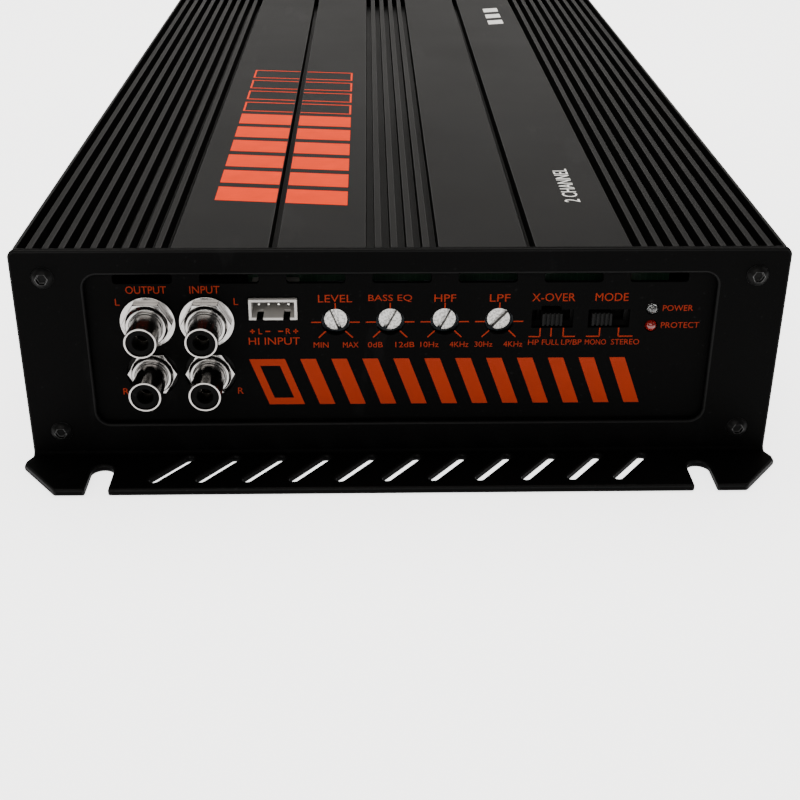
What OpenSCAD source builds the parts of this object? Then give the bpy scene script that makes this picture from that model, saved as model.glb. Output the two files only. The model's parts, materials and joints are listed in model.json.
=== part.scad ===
// Two-channel car amplifier with a finned aluminium shell between two end plates.
// X runs across the control panel, Y runs from the control end to the terminal end, Z is up.
// The origin is at the middle of the case, on the surface that the two feet stand on.

/* [Case] */
// Width of the end plates
case_w = 192; // [184:2:240]
// Height of the end plates above the surface the feet stand on
case_h = 59; // [59:1:80]
// Length over the outer faces of the two end plates
case_l = 320; // [260:4:400]
// Thickness of the end plates and their feet
plate_t = 2; // [1.6:0.1:3]
// Thickness of the two inner panels
panel_t = 1.2; // [0.8:0.1:2]
// Radius of the end plates' top corners
plate_corner_r = 2; // [1:0.5:4]
// Inside radius of the bend between an end plate and its foot
bend_r = 1; // [0.5:0.1:2]

/* [Feet] */
// Reach of a foot beyond its end plate
foot_depth = 17.6; // [15:0.2:24]
// How much a foot flares past its end plate on each side
foot_flare = 1.2; // [0:0.1:3]
// Width of the cut on each foot corner
foot_cut_x = 10; // [4:0.5:14]
// Depth of the cut on each foot corner
foot_cut_y = 12.2; // [4:0.2:13]
// Distance of a mounting notch from the end of the foot
notch_inset = 19.4; // [16:0.2:30]
// Width of a mounting notch
notch_w = 5.7; // [4.5:0.1:7]
// Distance from the end plate to the closed end of a mounting notch
notch_wall = 6; // [4:0.5:9]
// Number of slanted vents in a foot
foot_vents = 11; // [5:1:11]
// Distance between slanted vents
foot_vent_pitch = 11.8; // [9:0.1:11.8]
// Length of a slanted vent
foot_vent_l = 15; // [8:0.5:16]
// Width of a slanted vent
foot_vent_w = 2.2; // [1:0.1:3]
// Slant of the vents
foot_vent_angle = 52; // [45:1:60]

/* [Panel opening] */
// Distance from each side of the case to the opening
opening_side = 17.6; // [17:0.2:20]
// Height of the opening's lower edge
opening_z = 10.7; // [9.5:0.1:11]
// Distance from the opening's upper edge to the top of the case
opening_top = 6.6; // [5:0.1:7.5]
// Corner radius of the opening
opening_r = 3.5; // [1:0.5:8]
// Number of vents along the top of each inner panel
panel_vents = 7; // [3:1:7]
// Distance between those vents
panel_vent_pitch = 21.4; // [18:0.1:22]
// Length of each of those vents
panel_vent_l = 14.6; // [6:0.2:16]

/* [Shell] */
// How much lower the shell is than the end plates
shell_drop = 0.6; // [0.2:0.1:1.5]
// How much narrower the shell is on each side
shell_inset = 0.7; // [0.2:0.1:1.5]
// Thickness of the side walls
side_wall = 4; // [3.6:0.1:6]
// Metal left under the grooves
deck_web = 2.4; // [2:0.1:4]
// Depth of the grooves
groove_d = 4; // [2:0.1:4]
// Width of the outer grooves
groove_w = 2.3; // [1.5:0.1:2.6]
// Distance between grooves
groove_pitch = 3.93; // [3.6:0.01:4.1]
// Number of grooves on each side
side_grooves = 10; // [4:1:10]
// Number of grooves in the middle
mid_grooves = 5; // [1:2:7]
// Width of the middle grooves
mid_groove_w = 2.1; // [1.5:0.1:2.6]
// Distance of the two single grooves from the middle
lone_groove_x = 31.8; // [24:0.2:40]
// Thickness of the bottom cover
cover_t = 1.2; // [0.8:0.1:2]
// Height of the bottom cover's underside
cover_z = 3.8; // [3.4:0.1:4.2]

/* [Screws] */
// Radius of the end plate and cover screws
screw_r = 1.5; // [1.25:0.05:1.75]
// Radius of their heads
screw_head_r = 2.9; // [2.6:0.1:3.4]
// Height of their heads
screw_head_h = 1.6; // [1.2:0.1:2]
// Hexagon socket across flats
socket_af = 2.5; // [2:0.1:3]
// Distance of the end plate screws from each side
plate_screw_side = 8; // [8:0.1:9]
// Distance of the upper end plate screws from the top
plate_screw_top = 7.2; // [6.5:0.1:8]
// Height of the lower end plate screws
plate_screw_z = 8.6; // [8.6:0.1:10]

/* [Signal jacks] */
// Outer radius of a jack's barrel
jack_r = 4; // [3.9:0.05:4.3]
// Distance between jacks
jack_pitch = 14.7; // [14:0.1:17]
// Distance from the opening's side to the first jack
jack_side = 14.8; // [14:0.1:16]
// How far the barrels reach past the end plate
jack_reach = 10.8; // [8:0.1:14]
// Radius of the hole a jack's nut sits in
jack_hole_r = 6.5; // [6.5:0.1:6.8]
// Radius of the washers
washer_r = 6.9; // [6.7:0.05:7]
// Jack nut across flats
nut_af = 11; // [10:0.1:11.2]

/* [Controls] */
// Height of the control row above the middle of the opening
control_rise = 7.05; // [4:0.05:9]
// Distance from the middle to the first dial
first_dial_x = -16.7; // [-18:0.1:-16]
// Distance between dials
dial_pitch = 13.75; // [13:0.05:13.8]
// Radius of a dial's shaft
shaft_r = 3; // [2.5:0.1:3]
// Depth of the shafts' ends behind the panel's face
shaft_depth = 1.7; // [1.5:0.1:2.5]
// Position of the crossover switch
crossover_x = 38; // [38:0.1:39]
// Position of the mode switch
mode_x = 52.3; // [52.3:0.1:53]
// Width of a switch window
switch_w = 10.4; // [10:0.1:11]
// Height of a switch window
switch_h = 4.9; // [4.5:0.1:5.5]
// Travel of the crossover switch each way
crossover_travel = 2.2; // [1.5:0.1:2.3]
// Travel of the mode switch each way
mode_travel = 1.7; // [1:0.1:2.3]
// Position of the indicator lamps
lamp_x = 63.15; // [63:0.05:66]
// Radius of a lamp
lamp_r = 1.5; // [1:0.1:1.8]
// Distance between the lamps
lamp_pitch = 4.7; // [4.4:0.1:6]

/* [Speaker-level socket] */
// Position of the socket
header_x = -32.25; // [-32.3:0.05:-31.5]
// Width of the socket
header_w = 12.1; // [12:0.1:13]
// Height of the socket
header_h = 5.6; // [5.6:0.1:6.4]
// Distance between its pins
header_pitch = 2.5; // [2:0.1:2.54]

/* [Terminal end] */
// Radius of the power wire bores
power_bore_r = 3; // [2:0.1:3.2]
// Radius of the speaker wire bores
speaker_bore_r = 1.8; // [1.2:0.1:2]
// Radius of the power clamping screws
power_screw_r = 1.95; // [1.5:0.05:2]
// Radius of the speaker clamping screws
speaker_screw_r = 1.45; // [1:0.05:1.6]
// How far the terminals reach past the end plate
terminal_reach = 10; // [6:0.5:12]
// Width of a blade fuse
fuse_w = 19.1; // [18:0.1:19.5]
// Thickness of a blade fuse
fuse_t = 5.1; // [4:0.1:5.2]

/* [Fits] */
// Radial gap of a turning or sliding round fit
fit_gap = 0.05; // [0.03:0.01:0.09]
// Gap on each side of a loose sliding fit
slide_gap = 0.3; // [0.25:0.01:0.4]

/* [Hidden] */
$fn = 48;
eps = 0.01;

// Case, seen from the control end, whose plate has its outer face at front_y
front_y = -case_l / 2;
panel_y = front_y + plate_t;
panel_back_y = panel_y + panel_t;
shell_l = case_l - 2 * (plate_t + panel_t);
shell_half = case_w / 2 - shell_inset;
shell_top = case_h - shell_drop;
shell_bottom = plate_t + 0.6;
deck_z = shell_top - groove_d - deck_web;
inner_half = shell_half - side_wall;
cover_top = cover_z + cover_t;
ledge_t = 3;
ledge_w = 13;
boss_r = plate_screw_side - shell_inset - side_wall;
outer_groove_x = shell_half - 2;
opening_half = case_w / 2 - opening_side;
opening_mid_z = (opening_z + case_h - opening_top) / 2;
vent_low_z = case_h - opening_top - 3.1;
vent_high_z = deck_z - 0.2;
plate_screw_x = case_w / 2 - plate_screw_side;
plate_screw_high_z = case_h - plate_screw_top;
plate_screw_l = 12;
hole_r = screw_r + 0.2;
tap_r = screw_r + 0.1;

// Boards
board_t = 1.6;
standoff_h = 5;
standoff_end = 17;
board_z = cover_top + standoff_h;
board_top = board_z + board_t;
board_half = inner_half - ledge_w - 1;
board_front_y = panel_back_y + 6.8;
board_l = shell_l - 14;
control_board_y = panel_back_y + 12.5;
control_board_x0 = header_x - 7.25;
control_board_x1 = lamp_x + 6.85;
control_z = opening_mid_z + control_rise;

// Signal jacks: output and input columns, left channel above the right
jack_xs = [-opening_half + jack_side, -opening_half + jack_side + jack_pitch];
jack_zs = [opening_mid_z + 0.15 + jack_pitch / 2, opening_mid_z + 0.15 - jack_pitch / 2];
jack_tip_y = front_y - jack_reach;
jack_wall = 0.5;
washer_t = 0.8;
nut_base_t = 1.8;
nut_dome_t = 1.4;
insulator_hole_r = 2;
contact_r = 1.62;
contact_depth = 5;
rca_housing_l = 18;
jack_end_y = panel_back_y + 8;
insulator_r = jack_r - jack_wall - fit_gap;
neck_r = jack_r + 0.2;
nut_h = nut_base_t + nut_dome_t;
neck_ys = [panel_y - washer_t - nut_h, panel_back_y - nut_h];
insulator_end_y = panel_back_y + rca_housing_l - 4;
contact_end_y = insulator_end_y - 2;
rca_housing_margin = 8.6;

// Controls
dial_names = ["level", "bass", "high_pass", "low_pass"];
dial_angles = [-22, 28, 27, 42];
dial_bush_r = 4.5;
dial_bush_l = 3;
dial_body_w = 9.5;
dial_body_h = 11;
dial_body_l = 6.5;
dial_body_y = control_board_y - dial_body_l;
dial_flange_r = shaft_r + 0.8;
dial_flange_t = 1;
switch_z = control_z + 0.65;
knob_w = 5.1;
knob_h = 3.4;
knob_drop = 0.4;
carriage_w = 6.6;
carriage_h = knob_h + 1.4;
carriage_t = 2.2;
switch_body_w = 14;
switch_body_h = 8.4;
switch_body_l = 9.5;
switch_lip = 1;
lamp_zs = [control_z + 3.3, control_z + 3.3 - lamp_pitch];
header_z = control_z + 3.8;
header_wall = 0.7;
header_cavity = 9;
header_pin_l = 5.6;
header_pin_w = 0.64;
header_notch_w = 1.7;
header_notch_l = 5;

// Terminal end, measured from the outer face of the rear plate, which is at -front_y
rear_y = -front_y;
rear_panel_y = rear_y - plate_t;
rear_panel_back_y = rear_panel_y - panel_t;
terminal_y = rear_y + terminal_reach;
terminal_inner_y = rear_panel_back_y - 7;
terminal_shoulder = 1.5;
power_x = 46;
power_pitch = 15.5;
power_block = [11, 12, 14];
power_z = opening_mid_z - 6;
speaker_x = -10;
speaker_pitch = 10.6;
speaker_block = [8, 10, 11];
speaker_z = opening_mid_z - 4.5;
terminal_wall = 2;
fuse_x = -56;
fuse_pitch = 9;
fuse_z = opening_mid_z - 1;
fuse_body_l = 12.2;
fuse_blade_l = 6.5;
fuse_blade_w = 5.2;
fuse_blade_t = 0.7;
fuse_blade_x = 6.6;
fuse_proud = 4.2;
fuse_holder_y1 = rear_y + 4;
fuse_holder_y0 = fuse_holder_y1 + fuse_proud - fuse_body_l - fuse_blade_l - 1;

// Power parts inside
transistor = [5, 15.6, 20];
transistor_pitch = 21;
transistor_count = 4;
transistor_y = 40;
transistor_z = board_top + 5;
pad_t = 0.3;
clamp_t = 2;
clamp_h = 8;
clamp_screw_depth = 2.4;
toroid_r = 20;
toroid_hole_r = 10;
toroid_h = 15;
wind_t = 1.6;
toroid_y = 70;
toroid_x = -34;
capacitor_r = 8;
capacitor_h = 30;
capacitor_pitch = 19;

// A flat outline given in X and Z, made into a slab from y0 to y0 + t
module slab(y0, t) {
  translate([0, y0 + t, 0]) rotate([90, 0, 0]) linear_extrude(t) children();
}

// A round rod along Y
module rod_y(x, z, r, y0, y1) {
  translate([x, y0, z]) rotate([-90, 0, 0]) cylinder(r = r, h = y1 - y0);
}

// A box between two corners
module box(a, b) {
  translate(a) cube(b - a);
}

// A flat rectangle with true round corners, centred
module round_rect(w, h, r) {
  square([w, h - 2 * r], center = true);
  square([w - 2 * r, h], center = true);
  for (sx = [-1, 1], sy = [-1, 1]) translate([sx * (w / 2 - r), sy * (h / 2 - r)]) circle(r);
}

// A flat slot with round ends, centred, lying along X
module slot(l, w) {
  square([l - w, w], center = true);
  for (s = [-1, 1]) translate([s * (l - w) / 2, 0]) circle(d = w);
}

// Positions of a row of n things, centred on 0
function row(n, pitch) = [for (i = [0 : n - 1]) (i - (n - 1) / 2) * pitch];

// A button-headed screw along +Y with the underside of its head at the origin
module button_screw(r, l, head_r, head_h, af) {
  dome_r = (head_r * head_r + head_h * head_h) / (2 * head_h);
  difference() {
    union() {
      rotate([-90, 0, 0]) cylinder(r = r, h = l);
      intersection() {
        translate([0, dome_r - head_h, 0]) sphere(r = dome_r);
        rotate([90, 0, 0]) cylinder(r = head_r, h = head_h);
      }
    }
    translate([0, -head_h - eps, 0]) rotate([-90, 0, 0])
        cylinder(d = af / cos(30), h = head_h * 0.8, $fn = 6);
  }
}

// A set screw standing on its point at the origin, with a hexagon socket on top
module set_screw(r, l, af) {
  difference() {
    cylinder(r = r, h = l);
    translate([0, 0, l * 0.55]) cylinder(d = af / cos(30), h = l, $fn = 6);
  }
}

// ---- Case ----

module groove(x, w) {
  translate([x - w / 2, shell_top - groove_d]) square([w, groove_d + eps]);
}

module shell_outline() {
  difference() {
    union() {
      difference() {
        translate([-shell_half, shell_bottom]) square([2 * shell_half, shell_top - shell_bottom]);
        translate([-inner_half, shell_bottom - eps]) square([2 * inner_half, deck_z - shell_bottom + eps]);
      }
      for (s = [-1, 1]) {
        translate([s > 0 ? inner_half - ledge_w : -inner_half, cover_top]) square([ledge_w, ledge_t]);
        for (z = [plate_screw_z, plate_screw_high_z]) translate([s * plate_screw_x, z]) circle(boss_r);
      }
      for (s = [-1, 1], z = [plate_screw_z, plate_screw_high_z])
        translate([s > 0 ? plate_screw_x : -inner_half - 1, z - 3])
          square([inner_half + 1 - plate_screw_x, 6]);
    }
    for (s = [-1, 1], z = [plate_screw_z, plate_screw_high_z]) translate([s * plate_screw_x, z])
        circle(tap_r);
    for (s = [-1, 1], i = [0 : side_grooves - 1]) groove(s * (outer_groove_x - i * groove_pitch), groove_w);
    for (s = [-1, 1]) groove(s * lone_groove_x, mid_groove_w);
    for (x = row(mid_grooves, groove_pitch)) groove(x, mid_groove_w);
  }
}

cover_screw_xs = [-1, 1] * (inner_half - ledge_w + 4);
cover_screw_ys = row(3, (shell_l - 60) / 2);
clamp_screw_ys = [for (y = row(transistor_count + 1, transistor_pitch)) transistor_y + y];
clamp_z = transistor_z + 7;

module heatsink_shell() {
  color("dimgray") difference() {
    slab(-shell_l / 2, shell_l) shell_outline();
    for (x = cover_screw_xs, y = cover_screw_ys)
      translate([x, y, cover_top - eps]) cylinder(r = tap_r, h = ledge_t + 2 * eps);
    for (s = [-1, 1], y = clamp_screw_ys)
      translate([s * (inner_half - eps), y, clamp_z]) rotate([0, s * 90, 0])
          cylinder(r = tap_r, h = clamp_screw_depth + 0.2);
  }
}

module plate_outline() {
  low_z = plate_t + bend_r;
  difference() {
    union() {
      translate([-case_w / 2, low_z]) square([case_w, case_h - plate_corner_r - low_z]);
      translate([0, case_h - plate_corner_r]) square([case_w - 2 * plate_corner_r, 2 * plate_corner_r],
          center = true);
      for (s = [-1, 1]) translate([s * (case_w / 2 - plate_corner_r), case_h - plate_corner_r])
          circle(plate_corner_r);
    }
    translate([0, opening_mid_z]) round_rect(2 * opening_half, 2 * (opening_mid_z - opening_z), opening_r);
    for (s = [-1, 1], z = [plate_screw_z, plate_screw_high_z]) translate([s * plate_screw_x, z])
        circle(hole_r);
  }
}

// The foot seen from above, reaching towards -Y from the plate's outer face
module foot_outline() {
  half = case_w / 2;
  wide = half + foot_flare;
  flare_y = 3.5;
  tip_y = foot_depth - foot_cut_y;
  difference() {
    polygon([
      [-half, -bend_r], [-wide, -min(flare_y, tip_y)], [-wide, -tip_y], [-wide + foot_cut_x, -foot_depth],
      [wide - foot_cut_x, -foot_depth], [wide, -tip_y], [wide, -min(flare_y, tip_y)], [half, -bend_r]]);
    for (s = [-1, 1]) translate([s * (half - notch_inset), 0]) {
      translate([0, -notch_wall - notch_w / 2]) circle(d = notch_w);
      translate([-notch_w / 2, -foot_depth - eps])
          square([notch_w, foot_depth - notch_wall - notch_w / 2 + eps]);
    }
    for (x = row(foot_vents, foot_vent_pitch))
      translate([x, -bend_r - (foot_depth - bend_r) * 0.42]) rotate(foot_vent_angle)
          slot(foot_vent_l, foot_vent_w);
  }
}

module end_plate() {
  slab(front_y, plate_t) plate_outline();
  translate([0, front_y, 0]) linear_extrude(plate_t) foot_outline();
  translate([-case_w / 2, front_y - bend_r, plate_t + bend_r]) rotate([90, 0, 90]) linear_extrude(case_w)
    difference() {
      intersection() {
        circle(plate_t + bend_r);
        translate([0, -plate_t - bend_r]) square(plate_t + bend_r);
      }
      circle(bend_r);
    }
}

module front_end_plate() {
  color([0.1, 0.1, 0.1]) end_plate();
}

module rear_end_plate() {
  color([0.1, 0.1, 0.1]) mirror([0, 1, 0]) end_plate();
}

module panel_blank() {
  margin = 1.2;
  low_z = plate_t + bend_r + 0.2;
  difference() {
    translate([-case_w / 2 + margin, low_z]) square([case_w - 2 * margin, shell_top - 0.4 - low_z]);
    for (s = [-1, 1], z = [plate_screw_z, plate_screw_high_z]) translate([s * plate_screw_x, z])
        circle(hole_r);
    for (x = row(panel_vents, panel_vent_pitch))
      translate([x, (vent_low_z + vent_high_z) / 2])
          round_rect(panel_vent_l, vent_high_z - vent_low_z, 0.8);
  }
}

function dial_x(i) = first_dial_x + i * dial_pitch;

module front_panel() {
  color([0.12, 0.12, 0.12]) slab(panel_y, panel_t) difference() {
    panel_blank();
    for (x = jack_xs, z = jack_zs) translate([x, z]) circle(jack_hole_r);
    for (i = [0 : 3]) translate([dial_x(i), control_z]) circle(shaft_r + 0.6);
    for (x = [crossover_x, mode_x]) translate([x, switch_z]) square([switch_w, switch_h], center = true);
    translate([crossover_x - 0.4, switch_z + switch_h / 2 + 0.5]) square([5, 1.4], center = true);
    for (z = lamp_zs) translate([lamp_x, z]) circle(lamp_r + 0.1);
    translate([header_x, header_z]) square([header_w + 0.2, header_h + 0.2], center = true);
  }
}

power_half = power_pitch + power_block[0] / 2 + terminal_wall;
power_z0 = power_z - power_block[2] / 2 - terminal_wall;
power_z1 = power_z + power_block[2] / 2 + terminal_wall;
speaker_half = 1.5 * speaker_pitch + speaker_block[0] / 2 + terminal_wall;
speaker_z0 = speaker_z - speaker_block[2] / 2 - terminal_wall;
speaker_z1 = speaker_z + speaker_block[2] / 2 + terminal_wall;
fuse_holder_w = fuse_w + 2 * slide_gap + 3;
fuse_holder_h = fuse_pitch + fuse_t + 2 * slide_gap + 3;

module rear_panel() {
  color([0.12, 0.12, 0.12]) slab(rear_panel_back_y, panel_t) difference() {
    panel_blank();
    translate([power_x - power_half, power_z0]) square([2 * power_half, power_z1 - power_z0]);
    translate([speaker_x - speaker_half, speaker_z0]) square([2 * speaker_half, speaker_z1 - speaker_z0]);
    translate([fuse_x, fuse_z]) square([fuse_holder_w, fuse_holder_h], center = true);
  }
}

module bottom_cover() {
  color("gray") difference() {
    box([-inner_half + 0.2, -shell_l / 2, cover_z], [inner_half - 0.2, shell_l / 2, cover_top]);
    for (x = cover_screw_xs, y = cover_screw_ys)
      translate([x, y, cover_z - eps]) cylinder(r = hole_r, h = cover_t + 2 * eps);
  }
}

module plate_screws() {
  for (s = [-1, 1], z = [plate_screw_z, plate_screw_high_z])
    translate([s * plate_screw_x, front_y, z]) button_screw(screw_r, plate_screw_l, screw_head_r,
        screw_head_h, socket_af);
}

module front_plate_screws() {
  color([0.2, 0.2, 0.2]) plate_screws();
}

module rear_plate_screws() {
  color([0.2, 0.2, 0.2]) mirror([0, 1, 0]) plate_screws();
}

module cover_screws() {
  head_h = 1.2;
  color([0.25, 0.25, 0.25])
    for (x = cover_screw_xs, y = cover_screw_ys)
      translate([x, y, cover_z]) rotate([90, 0, 0])
          button_screw(screw_r, cover_t + ledge_t - 0.4, screw_head_r, head_h, 2);
}

// ---- Boards ----

board_mid_y = board_front_y + board_l / 2;
standoff_points = [for (x = [-1, 1] * (board_half - 5), y = row(3, board_l / 2 - standoff_end))
    [x, y + board_mid_y]];

module board_standoffs() {
  color("goldenrod") for (p = standoff_points)
    translate([p[0], p[1], cover_top]) difference() {
      cylinder(d = 5.5 / cos(30), h = standoff_h, $fn = 6);
      translate([0, 0, 1]) cylinder(r = tap_r, h = standoff_h);
    }
}

module board_screws() {
  color("silver") for (p = standoff_points)
    translate([p[0], p[1], board_top]) rotate([-90, 0, 0]) button_screw(screw_r, 5, screw_head_r, 1.6, 2);
}

module main_board() {
  color("darkgreen") difference() {
    box([-board_half, board_front_y, board_z], [board_half, board_front_y + board_l, board_top]);
    for (p = standoff_points) translate([p[0], p[1], board_z - eps])
        cylinder(r = hole_r, h = board_t + 2 * eps);
  }
}

module control_board() {
  color("darkgreen") difference() {
    box([control_board_x0, control_board_y, board_top],
        [control_board_x1, control_board_y + board_t, header_z + 4.5]);
    for (x = row(4, header_pitch)) header_pin_way(x, control_board_y - eps, control_board_y + board_t +
        eps);
  }
}

// ---- Signal jacks ----

module rca_housing() {
  x0 = jack_xs[0] - rca_housing_margin;
  x1 = min(jack_xs[1] + rca_housing_margin, control_board_x0 - 0.4);
  color([0.08, 0.08, 0.08]) difference() {
    box([x0, panel_back_y, board_top], [x1, panel_back_y + rca_housing_l, jack_zs[0] + rca_housing_margin]);
    for (x = jack_xs, z = jack_zs) {
      rod_y(x, z, neck_r + fit_gap, panel_back_y - eps, jack_end_y);
      rod_y(x, z, insulator_r + fit_gap, panel_back_y - eps, insulator_end_y);
    }
  }
}

// A smooth barrel for the plug, and behind the nut's front a wider threaded neck
module rca_barrel(column, row) {
  x = jack_xs[column];
  z = jack_zs[row];
  color("silver") difference() {
    union() {
      rod_y(x, z, jack_r, jack_tip_y, neck_ys[row] + eps);
      rod_y(x, z, neck_r, neck_ys[row], jack_end_y);
    }
    rod_y(x, z, jack_r - jack_wall, jack_tip_y - eps, jack_end_y + eps);
  }
}

module output_left_barrel() { rca_barrel(0, 0); }
module output_right_barrel() { rca_barrel(0, 1); }
module input_left_barrel() { rca_barrel(1, 0); }
module input_right_barrel() { rca_barrel(1, 1); }

// A hexagon nut with a domed collar, standing on its base at the origin, axis towards -Y
module rca_nut() {
  rotate([90, 0, 0]) difference() {
    union() {
      cylinder(d = nut_af / cos(30), h = nut_base_t, $fn = 6);
      rotate_extrude() polygon([
        [0, 0], [nut_af / 2 - 0.1, 0], [nut_af / 2 - 0.1, nut_base_t], [neck_r + 0.7, nut_h], [0, nut_h]]);
    }
    translate([0, 0, -eps]) cylinder(r = neck_r + fit_gap, h = nut_h + 2 * eps);
  }
}

module rca_nuts() {
  color("silver") for (x = jack_xs) {
    translate([x, panel_y - washer_t, jack_zs[0]]) rca_nut();
    translate([x, panel_back_y, jack_zs[1]]) rca_nut();
  }
}

module rca_washers() {
  color("silver") for (x = jack_xs) difference() {
    rod_y(x, jack_zs[0], washer_r, panel_y - washer_t, panel_y);
    rod_y(x, jack_zs[0], neck_r + fit_gap, panel_y - washer_t - eps, panel_y + eps);
  }
}

module rca_insulators() {
  color([0.06, 0.06, 0.06]) for (x = jack_xs, z = jack_zs) difference() {
    rod_y(x, z, insulator_r, jack_tip_y + 0.4, insulator_end_y);
    rod_y(x, z, insulator_hole_r, jack_tip_y, contact_end_y);
  }
}

module rca_contacts() {
  front = jack_tip_y + contact_depth;
  color("gold") for (x = jack_xs, z = jack_zs) difference() {
    rod_y(x, z, insulator_hole_r - fit_gap, front, contact_end_y);
    rod_y(x, z, contact_r, front - eps, contact_end_y - 1);
  }
}

// ---- Speaker-level socket ----

// The space of one square pin
module header_pin_way(x, y0, y1) {
  half = header_pin_w / 2;
  box([header_x + x - half, y0, header_z - half], [header_x + x + half, y1, header_z + half]);
}

module header_socket() {
  front = panel_y - 0.8;
  color("white") difference() {
    box([header_x - header_w / 2, front, header_z - header_h / 2],
        [header_x + header_w / 2, control_board_y, header_z + header_h / 2]);
    box([header_x - header_w / 2 + header_wall, front - eps, header_z - header_h / 2 + header_wall],
        [header_x + header_w / 2 - header_wall, front + header_cavity, header_z + header_h / 2 -
            header_wall]);
    for (s = [-1, 1])
      translate([header_x + s * 3.35 - header_notch_w / 2, front - eps, header_z - header_h / 2 - eps])
        cube([header_notch_w, header_notch_l, header_wall + 2 * eps]);
    for (x = row(4, header_pitch)) header_pin_way(x, front + header_cavity - eps, control_board_y + eps);
  }
}

module header_pins() {
  front = panel_y - 0.8 + header_cavity - header_pin_l;
  color("gold") for (x = row(4, header_pitch)) header_pin_way(x, front, control_board_y + board_t + 1);
}

// ---- Dials ----

module dial_shaft(i) {
  tip_y = panel_y + shaft_depth;
  end_y = dial_body_y + 3.3;
  flange_y = dial_body_y + 1.2;
  color("silver") difference() {
    union() {
      rod_y(dial_x(i), control_z, shaft_r, tip_y, end_y);
      rod_y(dial_x(i), control_z, dial_flange_r, flange_y, flange_y + dial_flange_t);
    }
    translate([dial_x(i), tip_y, control_z]) rotate([0, dial_angles[i], 0])
      translate([-0.45, -eps, -shaft_r - 1]) cube([0.9, 1.2, 2 * shaft_r + 2]);
  }
}

module dial_pot(i) {
  bush_y = dial_body_y - dial_bush_l;
  flange_y = dial_body_y + 1.2;
  color("darkslategray") difference() {
    union() {
      rod_y(dial_x(i), control_z, dial_bush_r, bush_y, dial_body_y + eps);
      box([dial_x(i) - dial_body_w / 2, dial_body_y, control_z - dial_body_h / 2],
          [dial_x(i) + dial_body_w / 2, control_board_y, control_z + dial_body_h / 2]);
    }
    rod_y(dial_x(i), control_z, shaft_r + fit_gap, bush_y - eps, dial_body_y + 3.6);
    rod_y(dial_x(i), control_z, dial_flange_r + slide_gap, flange_y - slide_gap, flange_y + dial_flange_t
        + slide_gap);
  }
}

module level_shaft() { dial_shaft(0); }
module bass_shaft() { dial_shaft(1); }
module high_pass_shaft() { dial_shaft(2); }
module low_pass_shaft() { dial_shaft(3); }
module level_pot() { dial_pot(0); }
module bass_pot() { dial_pot(1); }
module high_pass_pot() { dial_pot(2); }
module low_pass_pot() { dial_pot(3); }

// ---- Slide switches ----

// The knob stands in the middle of its window when offset is 0
module slider(x, offset) {
  carriage_y = control_board_y - switch_body_l + switch_lip + slide_gap;
  color([0.1, 0.1, 0.1]) translate([x + offset, 0, switch_z - knob_drop]) difference() {
    union() {
      box([-knob_w / 2, panel_y + 0.1, -knob_h / 2], [knob_w / 2, carriage_y + eps, knob_h / 2]);
      box([-carriage_w / 2, carriage_y, -carriage_h / 2],
          [carriage_w / 2, carriage_y + carriage_t, carriage_h / 2]);
    }
    for (rib = row(4, 1.1)) box([rib - 0.25, panel_y, -knob_h], [rib + 0.25, panel_y + 0.7, knob_h]);
  }
}

module switch_frame(x, travel) {
  body_y = control_board_y - switch_body_l;
  room_w = carriage_w / 2 + travel + slide_gap;
  room_h = carriage_h / 2 + slide_gap;
  color("silver") translate([x, 0, switch_z - knob_drop]) difference() {
    box([-switch_body_w / 2, body_y, -switch_body_h / 2],
        [switch_body_w / 2, control_board_y, switch_body_h / 2]);
    box([-room_w, body_y + switch_lip, -room_h], [room_w, body_y + switch_lip + carriage_t + 2 *
        slide_gap, room_h]);
    box([-knob_w / 2 - travel - slide_gap, body_y - eps, -knob_h / 2 - slide_gap],
        [knob_w / 2 + travel + slide_gap, body_y + switch_lip + eps, knob_h / 2 + slide_gap]);
  }
}

module crossover_slider() { slider(crossover_x, 0); }
module mode_slider() { slider(mode_x, -mode_travel); }
module crossover_switch() { switch_frame(crossover_x, crossover_travel); }
module mode_switch() { switch_frame(mode_x, mode_travel); }

// ---- Lamps ----

module lamp(z, tint) {
  proud = 1;
  back_y = panel_back_y + 3;
  color(tint) {
    rod_y(lamp_x, z, lamp_r, panel_y - proud + lamp_r, back_y);
    translate([lamp_x, panel_y - proud + lamp_r, z]) sphere(r = lamp_r);
    rod_y(lamp_x, z, lamp_r + 0.4, back_y - 1, back_y);
    for (s = [-1, 1]) box([lamp_x + s * 0.9 - 0.25, back_y - eps, z - 0.25],
        [lamp_x + s * 0.9 + 0.25, control_board_y, z + 0.25]);
  }
}

module power_lamp() { lamp(lamp_zs[0], "white"); }
module protect_lamp() { lamp(lamp_zs[1], "red"); }

// ---- Power parts ----

module ring(r0, r1, h) {
  rotate_extrude() translate([r0, 0]) square([r1 - r0, h]);
}

module toroid_core() {
  color([0.25, 0.3, 0.25]) translate([toroid_x, toroid_y, board_top + wind_t + 0.4])
      ring(toroid_hole_r, toroid_r, toroid_h);
}

module toroid_winding() {
  color("chocolate") translate([toroid_x, toroid_y, board_top + wind_t + 0.4]) for (turn = [10, 190])
      rotate(turn)
    rotate_extrude(angle = 160) difference() {
      translate([toroid_hole_r - wind_t, -wind_t])
          square([toroid_r - toroid_hole_r + 2 * wind_t, toroid_h + 2 * wind_t]);
      translate([toroid_hole_r - fit_gap, 0]) square([toroid_r - toroid_hole_r + 2 * fit_gap, toroid_h]);
    }
}

module capacitors() {
  color("navy") for (x = row(3, capacitor_pitch), y = row(2, capacitor_pitch))
    translate([x + 26, y + toroid_y, board_top]) {
      cylinder(r = capacitor_r - 0.3, h = capacitor_h);
      cylinder(r = capacitor_r, h = 2.5);
      translate([0, 0, 4]) cylinder(r = capacitor_r, h = capacitor_h - 4.6);
    }
}

transistor_ys = [for (y = row(transistor_count, transistor_pitch)) transistor_y + y];
transistor_x = inner_half - pad_t - transistor[0];

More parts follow.
